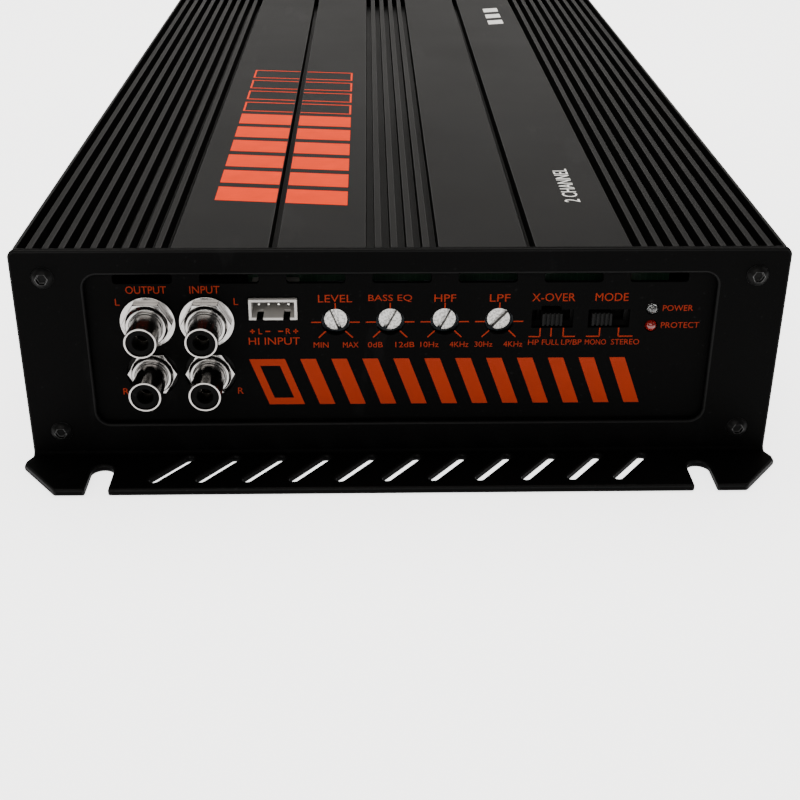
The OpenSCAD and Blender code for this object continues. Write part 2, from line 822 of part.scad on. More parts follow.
module transistors() {
  lead_z = board_top + 2.4;
  color([0.1, 0.1, 0.1]) for (s = [0, 1]) mirror([s, 0, 0]) for (y = transistor_ys) {
    translate([transistor_x, y - transistor[1] / 2, transistor_z]) cube(transistor);
    for (lead = row(3, 5.4)) {
      translate([transistor_x + 1, y + lead - 0.6, lead_z]) cube([1, 1.2, transistor_z - lead_z + eps]);
      translate([board_half - 4, y + lead - 0.6, lead_z])
          cube([transistor_x + 2 - board_half + 4, 1.2, 0.6]);
      translate([board_half - 4, y + lead - 0.6, board_top]) cube([1, 1.2, lead_z - board_top + eps]);
    }
  }
}

pad_l = transistor_count * transistor_pitch + 8;

module thermal_pads() {
  color("white") for (s = [0, 1]) mirror([s, 0, 0]) difference() {
    box([inner_half - pad_t, transistor_y - pad_l / 2, transistor_z - 1],
        [inner_half, transistor_y + pad_l / 2, transistor_z + transistor[2] + 1]);
    for (y = clamp_screw_ys) translate([inner_half - 1, y, clamp_z]) rotate([0, 90, 0])
        cylinder(r = hole_r, h = 2);
  }
}

module clamp_bars() {
  color("lightgray") for (s = [0, 1]) mirror([s, 0, 0]) difference() {
    box([transistor_x - clamp_t, transistor_y - pad_l / 2, clamp_z - clamp_h / 2],
        [transistor_x, transistor_y + pad_l / 2, clamp_z + clamp_h / 2]);
    for (y = clamp_screw_ys) translate([transistor_x - clamp_t - 1, y, clamp_z]) rotate([0, 90, 0])
        cylinder(r = hole_r, h = clamp_t + 2);
  }
}

module clamp_screws() {
  shank_l = clamp_t + transistor[0] + pad_t + clamp_screw_depth - 0.2;
  color("silver") for (s = [0, 1]) mirror([s, 0, 0]) for (y = clamp_screw_ys)
    translate([transistor_x - clamp_t, y, clamp_z]) rotate([0, 0, -90])
        button_screw(screw_r, shank_l, screw_head_r, screw_head_h, 2);
}

// ---- Terminals ----

// A housing with its wire holes towards +Y; the brass blocks fill its pockets
module terminal_housing(x, half, z0, z1, xs, block, bore_rs, bore_z, clamp_r) {
  pocket_y = terminal_y - terminal_wall - block[1];
  difference() {
    union() {
      box([x - half, rear_panel_back_y - eps, z0], [x + half, terminal_y, z1]);
      box([x - half - terminal_shoulder, terminal_inner_y, board_top],
          [x + half + terminal_shoulder, rear_panel_back_y, z1]);
    }
    for (i = [0 : len(xs) - 1]) {
      translate([x + xs[i] - block[0] / 2, terminal_inner_y - eps, z0 + terminal_wall])
        cube([block[0], terminal_y - terminal_wall - terminal_inner_y + eps, block[2]]);
      rod_y(x + xs[i], bore_z, bore_rs[i] + 0.4, pocket_y, terminal_y + eps);
      translate([x + xs[i], pocket_y + block[1] / 2, z1 - terminal_wall - eps])
          cylinder(r = clamp_r + 0.5, h = terminal_wall + 2 * eps);
    }
  }
}

module terminal_contacts(x, z0, xs, block, bore_rs, bore_z, clamp_r) {
  block_y = terminal_y - terminal_wall - block[1];
  for (i = [0 : len(xs) - 1]) difference() {
    union() {
      translate([x + xs[i] - block[0] / 2, block_y, z0 + terminal_wall]) cube(block);
      translate([x + xs[i] - 2, terminal_inner_y - 3, z0 + terminal_wall])
          cube([4, block_y - terminal_inner_y + 3 + eps, 1.2]);
      translate([x + xs[i] - 2, terminal_inner_y - 3, board_top])
          cube([4, 1.2, z0 + terminal_wall + eps - board_top]);
    }
    rod_y(x + xs[i], bore_z, bore_rs[i], block_y - eps, block_y + block[1] + eps);
    translate([x + xs[i], block_y + block[1] / 2, bore_z]) cylinder(r = clamp_r + fit_gap, h = block[2]);
  }
}

power_xs = [-power_pitch, 0, power_pitch];
power_bores = [power_bore_r, power_bore_r * 0.6, power_bore_r];
power_bore_z = power_z0 + terminal_wall + power_bore_r + 1.6;
power_screw_y = terminal_y - terminal_wall - power_block[1] / 2;
power_screw_z = power_bore_z + power_bore_r + 0.4;
speaker_xs = row(4, speaker_pitch);
speaker_bores = [for (x = speaker_xs) speaker_bore_r];
speaker_bore_z = speaker_z0 + terminal_wall + speaker_bore_r + 1.4;
speaker_screw_y = terminal_y - terminal_wall - speaker_block[1] / 2;
speaker_screw_z = speaker_bore_z + speaker_bore_r + 0.4;

module power_terminal() {
  color([0.1, 0.1, 0.1])
    terminal_housing(power_x, power_half, power_z0, power_z1, power_xs, power_block, power_bores,
        power_bore_z, power_screw_r);
}

module power_contacts() {
  color("gold") terminal_contacts(power_x, power_z0, power_xs, power_block, power_bores, power_bore_z,
      power_screw_r);
}

module speaker_terminal() {
  color([0.1, 0.1, 0.1])
    terminal_housing(speaker_x, speaker_half, speaker_z0, speaker_z1, speaker_xs, speaker_block,
        speaker_bores,
                     speaker_bore_z, speaker_screw_r);
}

module speaker_contacts() {
  color("gold") terminal_contacts(speaker_x, speaker_z0, speaker_xs, speaker_block, speaker_bores,
      speaker_bore_z, speaker_screw_r);
}

module power_screw(i) {
  color("silver") translate([power_x + power_xs[i], power_screw_y, power_screw_z])
      set_screw(power_screw_r, 5, 2);
}

module speaker_screw(i) {
  color("silver") translate([speaker_x + speaker_xs[i], speaker_screw_y, speaker_screw_z])
      set_screw(speaker_screw_r, 4.2, 1.5);
}

module power_screw_1() { power_screw(0); }
module power_screw_2() { power_screw(1); }
module power_screw_3() { power_screw(2); }
module speaker_screw_1() { speaker_screw(0); }
module speaker_screw_2() { speaker_screw(1); }
module speaker_screw_3() { speaker_screw(2); }
module speaker_screw_4() { speaker_screw(3); }

// ---- Fuses ----

fuse_zs = [fuse_z + fuse_pitch / 2, fuse_z - fuse_pitch / 2];
fuse_end_y = fuse_holder_y1 + fuse_proud;
fuse_body_y = fuse_end_y - fuse_body_l;

module fuse(z) {
  color("orange") {
    box([fuse_x - fuse_w / 2, fuse_body_y, z - fuse_t / 2],
        [fuse_x + fuse_w / 2, fuse_end_y, z + fuse_t / 2]);
    for (s = [-1, 1])
      box([fuse_x + s * fuse_blade_x - fuse_blade_w / 2, fuse_body_y - fuse_blade_l, z - fuse_blade_t / 2],
          [fuse_x + s * fuse_blade_x + fuse_blade_w / 2, fuse_body_y + eps, z + fuse_blade_t / 2]);
  }
}

module fuse_upper() { fuse(fuse_zs[0]); }
module fuse_lower() { fuse(fuse_zs[1]); }

module fuse_holder() {
  half_w = fuse_holder_w / 2;
  half_h = fuse_holder_h / 2;
  color([0.1, 0.1, 0.1]) difference() {
    union() {
      box([fuse_x - half_w, rear_panel_back_y - eps, fuse_z - half_h],
          [fuse_x + half_w, fuse_holder_y1, fuse_z + half_h]);
      box([fuse_x - half_w - 1, fuse_holder_y0, board_top],
          [fuse_x + half_w + 1, rear_panel_back_y, fuse_z + half_h]);
    }
    for (z = fuse_zs) {
      box([fuse_x - fuse_w / 2 - slide_gap, fuse_body_y - slide_gap, z - fuse_t / 2 - slide_gap],
          [fuse_x + fuse_w / 2 + slide_gap, fuse_holder_y1 + eps, z + fuse_t / 2 + slide_gap]);
      for (s = [-1, 1])
        box([fuse_x + s * fuse_blade_x - fuse_blade_w / 2 - slide_gap, fuse_body_y - fuse_blade_l -
            slide_gap, z - fuse_blade_t / 2 - slide_gap],
            [fuse_x + s * fuse_blade_x + fuse_blade_w / 2 + slide_gap, fuse_body_y, z + fuse_blade_t / 2 +
                slide_gap]);
    }
  }
}

heatsink_shell();
front_end_plate();
rear_end_plate();
front_panel();
rear_panel();
bottom_cover();
front_plate_screws();
rear_plate_screws();
cover_screws();
board_standoffs();
board_screws();
main_board();
control_board();
rca_housing();
output_left_barrel();
output_right_barrel();
input_left_barrel();
input_right_barrel();
rca_nuts();
rca_washers();
rca_insulators();
rca_contacts();
header_socket();
header_pins();
level_shaft();
bass_shaft();
high_pass_shaft();
low_pass_shaft();
level_pot();
bass_pot();
high_pass_pot();
low_pass_pot();
crossover_slider();
mode_slider();
crossover_switch();
mode_switch();
power_lamp();
protect_lamp();
toroid_core();
toroid_winding();
capacitors();
transistors();
thermal_pads();
clamp_bars();
clamp_screws();
power_terminal();
power_contacts();
power_screw_1();
power_screw_2();
power_screw_3();
speaker_terminal();
speaker_contacts();
speaker_screw_1();
speaker_screw_2();
speaker_screw_3();
speaker_screw_4();
fuse_holder();
fuse_upper();
fuse_lower();
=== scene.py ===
"""Looks of a two-channel car amplifier: finishes, rounded edges, printed marks, lights and camera."""

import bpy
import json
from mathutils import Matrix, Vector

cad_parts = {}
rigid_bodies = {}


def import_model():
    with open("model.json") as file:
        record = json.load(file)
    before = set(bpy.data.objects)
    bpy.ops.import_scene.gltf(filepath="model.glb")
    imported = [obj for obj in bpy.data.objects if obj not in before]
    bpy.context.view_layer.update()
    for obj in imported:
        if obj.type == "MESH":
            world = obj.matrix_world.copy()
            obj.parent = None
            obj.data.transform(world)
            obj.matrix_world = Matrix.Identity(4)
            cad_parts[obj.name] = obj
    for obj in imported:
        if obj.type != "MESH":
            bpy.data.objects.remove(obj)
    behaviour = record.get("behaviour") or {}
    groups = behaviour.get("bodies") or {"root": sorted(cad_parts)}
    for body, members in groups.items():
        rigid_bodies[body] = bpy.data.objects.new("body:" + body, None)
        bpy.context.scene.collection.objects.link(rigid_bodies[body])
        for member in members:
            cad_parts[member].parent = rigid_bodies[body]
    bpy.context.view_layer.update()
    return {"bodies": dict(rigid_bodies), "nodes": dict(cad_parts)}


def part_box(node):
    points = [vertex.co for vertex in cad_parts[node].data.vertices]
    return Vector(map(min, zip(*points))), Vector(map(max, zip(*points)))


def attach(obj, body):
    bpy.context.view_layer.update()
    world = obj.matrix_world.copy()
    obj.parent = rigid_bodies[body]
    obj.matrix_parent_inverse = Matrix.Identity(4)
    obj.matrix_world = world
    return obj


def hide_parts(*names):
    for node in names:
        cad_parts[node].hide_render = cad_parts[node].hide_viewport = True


bl_info = {
    "name": "Car Amplifier Looks",
    "version": (1, 0, 0),
    "blender": (4, 5, 0),
    "location": "3D View > Sidebar > Amplifier",
    "description": "Finishes, rounded edges and printed marks of a two-channel car amplifier",
    "category": "Add Mesh",
}

import json
import math

import bmesh
import bpy
from bpy.props import FloatProperty, FloatVectorProperty, IntProperty, PointerProperty
from mathutils import Matrix, Vector

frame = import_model()

MM = 0.001
PANEL_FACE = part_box("front_panel")[0].y
DECK_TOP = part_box("heatsink_shell")[1].z
UPRIGHT = Matrix.Rotation(math.radians(90), 4, "X")
ALONG_SHELL = Matrix.Rotation(math.radians(90), 4, "Z")

# Degrees: edges that turn by more than CORNER are bevelled, edges that turn by less than SOFT look smooth
CORNER, SOFT = 40.0, 50.0
# Vertices nearer to each other than this are merged, in the CAD's pieces and in the print
MERGE, MERGE_PRINT = 2e-6, 1e-7

# Places of the print on the panel, from the middle of the part that it names
JACK_HEADING_RISE = 8.6 * MM
JACK_LETTER_RISE, JACK_LETTER_DROP = 5.35 * MM, 5.1 * MM
JACK_LETTER_LEFT, JACK_LETTER_RIGHT = 7.2 * MM, 7.5 * MM
# Marks below the socket, with their places in millimetres
SOCKET_MARKS = (("+", -5.4), ("L", -3.4), ("-", -1.55), ("-", 1.7), ("R", 3.6), ("+", 5.5))
SOCKET_MARK_DROP, SOCKET_HEADING_DROP, SIGN_REACH = 3.45 * MM, 6.2 * MM, 0.6 * MM
DIAL_HEADING_RISE = 6.5 * MM
DIAL_CAPTION_SIDE, DIAL_CAPTION_DROP = 3.75 * MM, 6.35 * MM
TICK_START, TICK_TOP_END, TICK_SIDE_END = 3.6 * MM, 5.25 * MM, 6.1 * MM
TICK_SLANT_START, TICK_SLANT_END = 2.5 * MM, 4.3 * MM
SWITCH_HEADING_RISE, SWITCH_CAPTION_DROP = 6.6 * MM, 5.9 * MM
# Captions below each slide switch, with middle and length in millimetres
SWITCH_CAPTIONS = {
    "crossover_switch": (("HP", -4.5, 2.7), ("FULL", -0.15, 4.3), ("LP/BP", 5.2, 5.2)),
    "mode_switch": (("MONO", -2.95, 5.4), ("STEREO", 4.65, 7.2)),
}
# Bracket lines from the captions to the switches: places in millimetres, each low (0) or high (1)
SWITCH_BRACKETS = {
    "crossover_switch": (
        ((-5.8, 0), (-2.95, 0), (-2.95, 1)),
        ((-0.15, 0), (-0.15, 1)),
        ((2.95, 1), (2.95, 0), (6.0, 0)),
    ),
    "mode_switch": (((-5.5, 0), (-2.1, 0), (-2.1, 1)), ((2.7, 1), (2.7, 0), (6.4, 0))),
}
BRACKET_RISES = 1.6 * MM, 4.0 * MM
STRIPE_DROP, FIRST_STRIPE = 10.3 * MM, 6.4 * MM
FRAME_START, FRAME_END, FRAME_WALL = 13.0 * MM, 3.9 * MM, 1.9 * MM

# Places of the print on the deck: X from the middle line, Y from the shell's near end
# A groove of the shell runs through the print and parts its bars
LONE_GROOVE, HALF_GROOVE = -31.8 * MM, 1.25 * MM
BARS_START, BARS_SIDE = 34.4 * MM, 17.9 * MM
COUNT_X, COUNT_Y, COUNT_HEIGHT, COUNT_LENGTH = 46.8 * MM, 46.0 * MM, 4.2 * MM, 28.0 * MM
TABS, TAB_X, TAB_Y, TAB_PITCH = 3, 43.5 * MM, 209.0 * MM, 12.5 * MM
TAB_WIDTH, TAB_LENGTH, TAB_LEAN = 6.5 * MM, 7.5 * MM, 2.0 * MM

FLOOR_HALF, FLOOR_DROP = 6.0, 0.2 * MM


def centre(node):
    """The middle of a CAD node's box."""
    low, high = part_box(node)
    return (low + high) / 2


def body_name(node):
    """The body that a CAD node rides on."""
    parent = frame["nodes"][node].parent
    return next(name for name, empty in frame["bodies"].items() if empty is parent)


# ---- Settings that a user would change ----


def size(name, default, text, low=0.0, high=1.0):
    """A length in metres, shown in the scene's units."""
    return FloatProperty(
        name=name,
        description=text,
        default=default,
        min=low,
        max=high,
        subtype="DISTANCE",
        unit="LENGTH",
        precision=5,
    )


def tint(name, default, text):
    """A linear colour."""
    return FloatVectorProperty(
        name=name, description=text, default=default, size=3, min=0.0, max=1.0, subtype="COLOR"
    )


def share(name, default, text):
    """A number from 0 to 1."""
    return FloatProperty(name=name, description=text, default=default, min=0.0, max=1.0, subtype="FACTOR")


def count(name, default, most, text):
    """A number of like marks."""
    return IntProperty(name=name, description=text, default=default, min=1, max=most)


def amount(name, default, text, unit="NONE"):
    """A plain number of the stage."""
    return FloatProperty(name=name, description=text, default=default, unit=unit)


class AmpColours(bpy.types.PropertyGroup):
    """Colours and gloss of the finishes."""

    shell: tint("Shell", (0.0013, 0.00125, 0.00115), "Satin black of the extruded shell")
    plate: tint("End plates", (0.0011, 0.0011, 0.0011), "Black powder coat of the end plates")
    panel: tint("Panels", (0.0012, 0.0012, 0.0012), "Black of the recessed panels")
    panel_ink: tint("Panel ink", (0.165, 0.0125, 0.003), "Orange print on the control panel")
    deck_ink: tint("Deck ink", (0.80, 0.040, 0.002), "Orange print on the top of the shell")
    white_ink: tint("White ink", (0.80, 0.80, 0.78), "White print on the top of the shell")
    shell_gloss: share("Shell roughness", 0.44, "Roughness of the shell")
    plate_gloss: share("Plate roughness", 0.50, "Roughness of the end plates")


class AmpEdges(bpy.types.PropertyGroup):
    """Radii of the rounded edges."""

    plate: size("Plate edge", 0.6 * MM, "Edge radius of the end plates")
    shell: size("Shell edge", 0.22 * MM, "Edge radius of the shell's fins")
    panel: size("Panel edge", 0.15 * MM, "Edge radius of the panels' cut-outs")
    screw: size("Screw edge", 0.18 * MM, "Edge radius of the screws' heads and sockets")
    metal: size("Metal edge", 0.17 * MM, "Edge radius of the turned metal parts")
    plastic: size("Plastic edge", 0.2 * MM, "Edge radius of the moulded parts")


class AmpPrint(bpy.types.PropertyGroup):
    """Sizes of the printed marks."""

    ink: size("Ink thickness", 0.03 * MM, "How far the print stands on its surface")
    heading: size("Heading height", 2.0 * MM, "Letter height of the headings")
    caption: size("Caption height", 1.5 * MM, "Letter height of the small captions")
    line: size("Line width", 0.3 * MM, "Width of the thin lines round the controls")
    stripes: count("Stripes", 11, 20, "Number of slanted stripes on the panel")
    stripe_pitch: size("Stripe pitch", 7.91 * MM, "Distance between the slanted stripes")
    stripe_width: size("Stripe width", 3.95 * MM, "Width of a slanted stripe")
    stripe_height: size("Stripe height", 13.1 * MM, "Height of the row of stripes")
    stripe_slant: size("Stripe slant", 4.75 * MM, "How far a stripe leans over its height")
    bars: count("Bars", 6, 12, "Number of solid bars on the deck")
    hollow_bars: count("Hollow bars", 4, 12, "Number of outlined bars on the deck")
    bar_length: size("Bar length", 35.8 * MM, "Length of a deck bar across the shell")
    bar_width: size("Bar width", 11.0 * MM, "Width of a deck bar along the shell")
    bar_pitch: size("Bar pitch", 14.5 * MM, "Distance between the deck bars")
    bar_lean: size("Bar lean", 4.5 * MM, "How far a deck bar leans back over its length")
    bar_outline: size("Bar outline", 0.6 * MM, "Line width of the outlined deck bars")


class AmpStage(bpy.types.PropertyGroup):
    """Lights, floor and camera."""

    lens: amount("Lens", 56.82, "Focal length in millimetres")
    camera: FloatVectorProperty(
        name="Camera place",
        description="Where the camera stands",
        default=(-0.00807, -0.44555, 0.17407),
        size=3,
        subtype="TRANSLATION",
        unit="LENGTH",
    )
    yaw: amount("Yaw", 1.519, "Turn of the camera to the right, in degrees")
    pitch: amount("Pitch", 26.04, "How far the camera looks down, in degrees")
    roll: amount("Roll", -0.363, "Tilt of the camera, in degrees")
    shift: amount("Shift", -0.075, "Upward shift of the lens")
    key: amount("Overhead light", 22.0, "Power of the overhead softbox", "POWER")
    fill: amount("Front light", 12.0, "Power of the front softbox", "POWER")
    back: amount("Back light", 7.0, "Power of the low softbox behind", "POWER")
    side: amount("Side light", 5.0, "Power of the side softboxes", "POWER")
    warmth: tint("Light colour", (1.0, 0.965, 0.92), "Colour of the softboxes")
    sky: amount("Room light", 0.2, "Strength of the even room light")
    glow: amount("Floor glow", 3.0, "How brightly the lit floor shines by itself")


# ---- Materials ----


class Field:
    """A shader socket that can stand in sums, with one method that makes every other node."""

    def __init__(self, tree, socket=None):
        self.tree = tree
        self.socket = socket

    def node(self, kind, settings, inputs, output=0):
        """Makes a node of a kind, with its settings and then its inputs, and returns one output."""
        made = self.tree.nodes.new(kind)
        for name, value in settings.items():
            setattr(made, name, value)
        for name, value in inputs.items():
            if isinstance(value, Field):
                self.tree.links.new(value.socket, made.inputs[name])
            else:
                made.inputs[name].default_value = value
        return Field(self.tree, made.outputs[output])

    def _sum(self, operation, first, second):
        if self.socket.type == "VECTOR":
            pair = [(v, v, v) if isinstance(v, (int, float)) else v for v in (first, second)]
            return self.node("ShaderNodeVectorMath", {"operation": operation}, dict(enumerate(pair)))
        return self.node("ShaderNodeMath", {"operation": operation}, {0: first, 1: second})

    def __add__(self, other):
        return self._sum("ADD", self, other)

    def __radd__(self, other):
        return self._sum("ADD", other, self)

    def __sub__(self, other):
        return self._sum("SUBTRACT", self, other)

    def __rsub__(self, other):
        return self._sum("SUBTRACT", other, self)

    def __mul__(self, other):
        return self._sum("MULTIPLY", self, other)

    def __rmul__(self, other):
        return self._sum("MULTIPLY", other, self)

    def above(self, level):
        """1 where the field is above a level, else 0, with a soft step."""
        span = {"Value": self, "From Min": level, "From Max": level + 0.06}
        return self.node("ShaderNodeMapRange", {"interpolation_type": "SMOOTHSTEP"}, span)

    def noise(self, scale, detail=3.0, rough=0.5):
        """Noise over this vector field."""
        inputs = {"Vector": self, "Scale": scale, "Detail": detail, "Roughness": rough}
        return self.node("ShaderNodeTexNoise", {}, inputs)

    def mix(self, low, high):
        """A colour between two, by this field."""
        low, high = (value if isinstance(value, Field) else (*value, 1.0) for value in (low, high))
        return self.node("ShaderNodeMix", {"data_type": "RGBA"}, {0: self, 6: low, 7: high}, 2)

    def bump(self, depth, strength=1.0, below=None):
        """A normal from this height field, depth in metres."""
        inputs = {"Strength": strength, "Distance": depth, "Height": self}
        if below is not None:
            inputs["Normal"] = below
        return self.node("ShaderNodeBump", {}, inputs)


def new_material(name):
    """An empty node material and its starting field."""
    material = bpy.data.materials.new(name)
    material.use_nodes = True
    material.node_tree.nodes.clear()
    start = Field(material.node_tree)
    return material, start, start.node("ShaderNodeTexCoord", {}, {}, "Object")


def close_material(material, start, inputs):
    """Ends a material in a principled shader with these inputs."""
    shader = start.node("ShaderNodeBsdfPrincipled", {}, inputs)
    out = material.node_tree.nodes.new("ShaderNodeOutputMaterial")
    material.node_tree.links.new(shader.socket, out.inputs["Surface"])
    return material


def lighter(colour, gain, lift=0.0):
    """A colour made lighter or darker."""
    return tuple(min(1.0, part * gain + lift) for part in colour)


def satin_extrusion(name, colour, rough, gloss):
    """Black satin over extruded aluminium: faint die lines along it, fine grain and scuffed patches."""
    material, start, place = new_material(name)
    lines = (place * (2600.0, 9.0, 2600.0)).noise(1.0, 4.0, 0.6)
    cloud = place.noise(26.0, 4.0, 0.55)
    grain = place.noise(5200.0, 2.0, 0.5)
    speck = place.noise(420.0, 2.0, 0.4)
    rub = (place * (60.0, 14.0, 60.0)).noise(1.0, 5.0, 0.62).above(0.60)
    base = (cloud * 0.7 + lines * 0.3).mix(lighter(colour, 0.82), lighter(colour, 1.25))
    base = (rub * 0.07).mix(base, lighter(colour, 2.0, 0.003))
    base = (speck.above(0.70) * 0.25).mix(base, lighter(colour, 2.0, 0.006))
    uneven = rough - 0.05 + cloud * 0.10 + grain * 0.06 - rub * 0.02
    normal = lines.bump(0.014 * MM, 0.7, grain.bump(0.022 * MM, 0.8))
    return close_material(
        material,
        start,
        {
            "Base Color": base,
            "Roughness": uneven,
            "Normal": normal,
            "Specular IOR Level": gloss,
        },
    )


def powder_coat(name, colour, rough, pebble=1500.0, depth=0.04 * MM, gloss=0.012):
    """Baked black powder: a fine pebble, soft clouding, dust specks and a few scuffed spots."""
    material, start, place = new_material(name)
    grain = place.noise(pebble, 3.0, 0.55)
    cloud = place.noise(34.0, 4.0, 0.5)
    dust = place.noise(900.0, 1.0, 0.3).above(0.72)
    rub = (place * (90.0, 90.0, 22.0)).noise(1.0, 5.0, 0.6).above(0.64)
    base = cloud.mix(lighter(colour, 0.75), lighter(colour, 1.35))
    base = (dust * 0.2).mix(base, lighter(colour, 3.0, 0.008))
    base = (rub * 0.12).mix(base, lighter(colour, 2.0, 0.004))
    uneven = rough - 0.05 + cloud * 0.1 + grain * 0.06 - rub * 0.06
    pebbled = grain.bump(depth, 0.7)
    return close_material(
        material,
        start,
        {"Base Color": base, "Roughness": uneven, "Normal": pebbled, "Specular IOR Level": gloss},
    )


def turned_metal(
    name, colour, rough, stretch=(1.0, 1.0, 1.0), depth=0.008 * MM, tarnish=0.35, rim=None, fleck=(0.70, 0.3)
):
    """Plated metal: tool lines, cloudy tarnish, dark flecks and, in front of a rim's depth, a painted
    highlight on the lip.
    """
    material, start, place = new_material(name)
    lines = (place * tuple(4200.0 * part for part in stretch)).noise(1.0, 3.0, 0.6)
    cloud = place.noise(260.0, 4.0, 0.6)
    pits = place.noise(1900.0, 2.0, 0.4).above(fleck[0])
    base = (cloud * tarnish).mix(colour, lighter(colour, 0.55))
    base = (pits * fleck[1]).mix(base, lighter(colour, 0.4))
    # In front of the rim's depth the colour turns lighter: a painted highlight on the front lip
    if rim is not None:
        depth_in = place.node("ShaderNodeSeparateXYZ", {}, {"Vector": place}, 1)
        span = {"Value": depth_in, "From Min": rim, "From Max": rim - 0.1 * MM}
        lip = place.node("ShaderNodeMapRange", {}, span)
        base = lip.mix(base, (0.30, 0.285, 0.275))
    uneven = rough + cloud * 0.14 + lines * 0.08 + pits * 0.12 - 0.08
    return close_material(
        material,
        start,
        {"Base Color": base, "Metallic": 1.0, "Roughness": uneven, "Normal": lines.bump(depth, 0.6)},
    )


def moulded(name, colour, rough, texture=1800.0, depth=0.02 * MM, gloss=0.5, clear=0.0, ior=1.5):
    """Moulded plastic, part clear for a lens: a fine spark texture, flow clouding and handling marks."""
    material, start, place = new_material(name)
    grain = place.noise(texture, 2.0, 0.5)
    cloud = place.noise(120.0, 3.0, 0.5)
    rub = (place * (300.0, 700.0, 300.0)).noise(1.0, 4.0, 0.6).above(0.62)
    base = cloud.mix(lighter(colour, 0.86), lighter(colour, 1.12, 0.002))
    base = (rub * 0.1).mix(base, lighter(colour, 1.3, 0.02))
    uneven = rough - 0.04 + cloud * 0.08 + grain * 0.05 - rub * 0.05
    inputs = {"Base Color": base, "Roughness": uneven, "Normal": grain.bump(depth, 0.5)}
    inputs.update({"Specular IOR Level": gloss, "Transmission Weight": clear, "IOR": ior})
    return close_material(material, start, inputs)


def screen_ink(name, colour, rough=0.5, gloss=0.03):
    """Screen-printed ink: mesh-fine mottling, thin spots and a slightly raised grain."""
    material, start, place = new_material(name)
    mesh_grain = place.noise(3600.0, 2.0, 0.6)
    cloud = place.noise(180.0, 3.0, 0.5)
    thin = place.noise(1400.0, 3.0, 0.6).above(0.66)
    base = cloud.mix(lighter(colour, 0.86), lighter(colour, 1.1))
    base = (thin * 0.25).mix(base, lighter(colour, 0.6))
    uneven = rough + mesh_grain * 0.12 + cloud * 0.06 - 0.08
    raised = mesh_grain.bump(0.01 * MM, 0.5)
    return close_material(
        material,
        start,
        {"Base Color": base, "Roughness": uneven, "Normal": raised, "Specular IOR Level": gloss},
    )


def wound_wire(name, colour, middle, turns):
    """Enamelled wire laid side by side round a ring: one ridge a turn."""
    material, start, place = new_material(name)
    spokes = {"Vector": place - tuple(middle)}
    around = place.node("ShaderNodeTexGradient", {"gradient_type": "RADIAL"}, spokes, 1)
    ridge = place.node("ShaderNodeMath", {"operation": "SINE"}, {0: around * (turns * 2.0 * math.pi)})
    cloud = place.noise(300.0, 3.0, 0.5)
    # Each turn is painted light on its crest and dark between turns: painted shade in the grooves between
    # the wires
    base = (ridge * 0.5 + 0.5).mix(lighter(colour, 0.45), lighter(colour, 1.1))
    uneven = 0.3 + cloud * 0.15
    inputs = {"Base Color": base, "Metallic": 0.8, "Roughness": uneven, "Normal": ridge.bump(0.3 * MM, 0.8)}
    return close_material(material, start, inputs)


def circuit_board(name, colour):
    """Solder mask with faint copper runs below it."""
    material, start, place = new_material(name)
    tracks = {"Vector": place * 120.0, "Mortar Size": 0.06, "Brick Width": 0.9, "Row Height": 0.22}
    runs = place.node("ShaderNodeTexBrick", {"offset": 0.37}, tracks, 1)
    cloud = place.noise(90.0, 3.0, 0.5)
    mask = cloud.mix(lighter(colour, 0.85), lighter(colour, 1.15))
    base = (runs * 0.6).mix(mask, lighter(colour, 1.7, 0.01))
    inputs = {"Base Color": base, "Roughness": 0.3 + cloud * 0.12, "Normal": runs.bump(0.03 * MM, 0.6)}
    return close_material(material, start, inputs)


def studio_floor(name, colour, glow):
    """Pale matt floor, lit from below, with the faintest clouding."""
    material, start, place = new_material(name)
    cloud = place.noise(1.4, 3.0, 0.5)
    base = cloud.mix(lighter(colour, 0.985), colour)
    inputs = {"Base Color": base, "Roughness": 0.85 + cloud * 0.1, "IOR": 1.2}
    inputs.update({"Emission Color": base, "Emission Strength": glow})
    return close_material(material, start, inputs)


# ---- Pieces ----


def dress(node, material):
    """Gives a CAD node a material."""
    item = frame["nodes"][node]
    for holder in item.material_slots:
        holder.link = "OBJECT"
        holder.material = material


def make_piece(name, shape, material, body, soft_angle=None):
    """Turns a bmesh into an object that rides on a body and wears the given material."""
    if soft_angle is not None:
        for face in shape.faces:
            face.smooth = True
        for edge in shape.edges:
            edge.smooth = len(edge.link_faces) == 2 and edge.calc_face_angle(0.0) < math.radians(soft_angle)
    mesh = bpy.data.meshes.new(name)
    shape.to_mesh(mesh)
    shape.free()
    piece = bpy.data.objects.new(name, mesh)
    bpy.context.scene.collection.objects.link(piece)
    mesh.materials.append(material)
    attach(piece, body)
    return piece


def rounded(node, material, radius, segments=2, angle=30.0, edge_material=None):
    """A merged copy of a CAD node with rounded edges, which stands for the node."""
    data = frame["nodes"][node].data.copy()
    for name in ("custom_normal", "sharp_face", "sharp_edge"):
        layer = data.attributes.get(name)
        if layer is not None:
            data.attributes.remove(layer)
    shape = bmesh.new()
    shape.from_mesh(data)
    bpy.data.meshes.remove(data)
    bmesh.ops.remove_doubles(shape, verts=shape.verts[:], dist=MERGE)
    bmesh.ops.dissolve_limit(
        shape,
        angle_limit=math.radians(0.5),
        use_dissolve_boundaries=False,
        verts=shape.verts[:],
        edges=shape.edges[:],
    )
    edges = [
        edge
        for edge in shape.edges
        if len(edge.link_faces) == 2
        and abs(edge.calc_face_angle(0.0)) > math.radians(angle)
    ]
    made = bmesh.ops.bevel(
        shape,
        geom=edges,
        offset=radius,
        offset_type="OFFSET",
        segments=segments,
        profile=0.5,
        affect="EDGES",
        clamp_overlap=False,
        material=-1,
    )
    # The bevel's own faces take the edge material, which every caller makes lighter than the body: a painted
    # highlight along the rounded edges
    if edge_material is not None:
        for face in made["faces"]:
            face.material_index = 1
    piece = make_piece(node + "_finished", shape, material, body_name(node), SOFT)
    if edge_material is not None:
        piece.data.materials.append(edge_material)
    even = piece.modifiers.new("even_faces", "WEIGHTED_NORMAL")
    even.keep_sharp = True
    even.weight = 100
    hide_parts(node)
    return piece


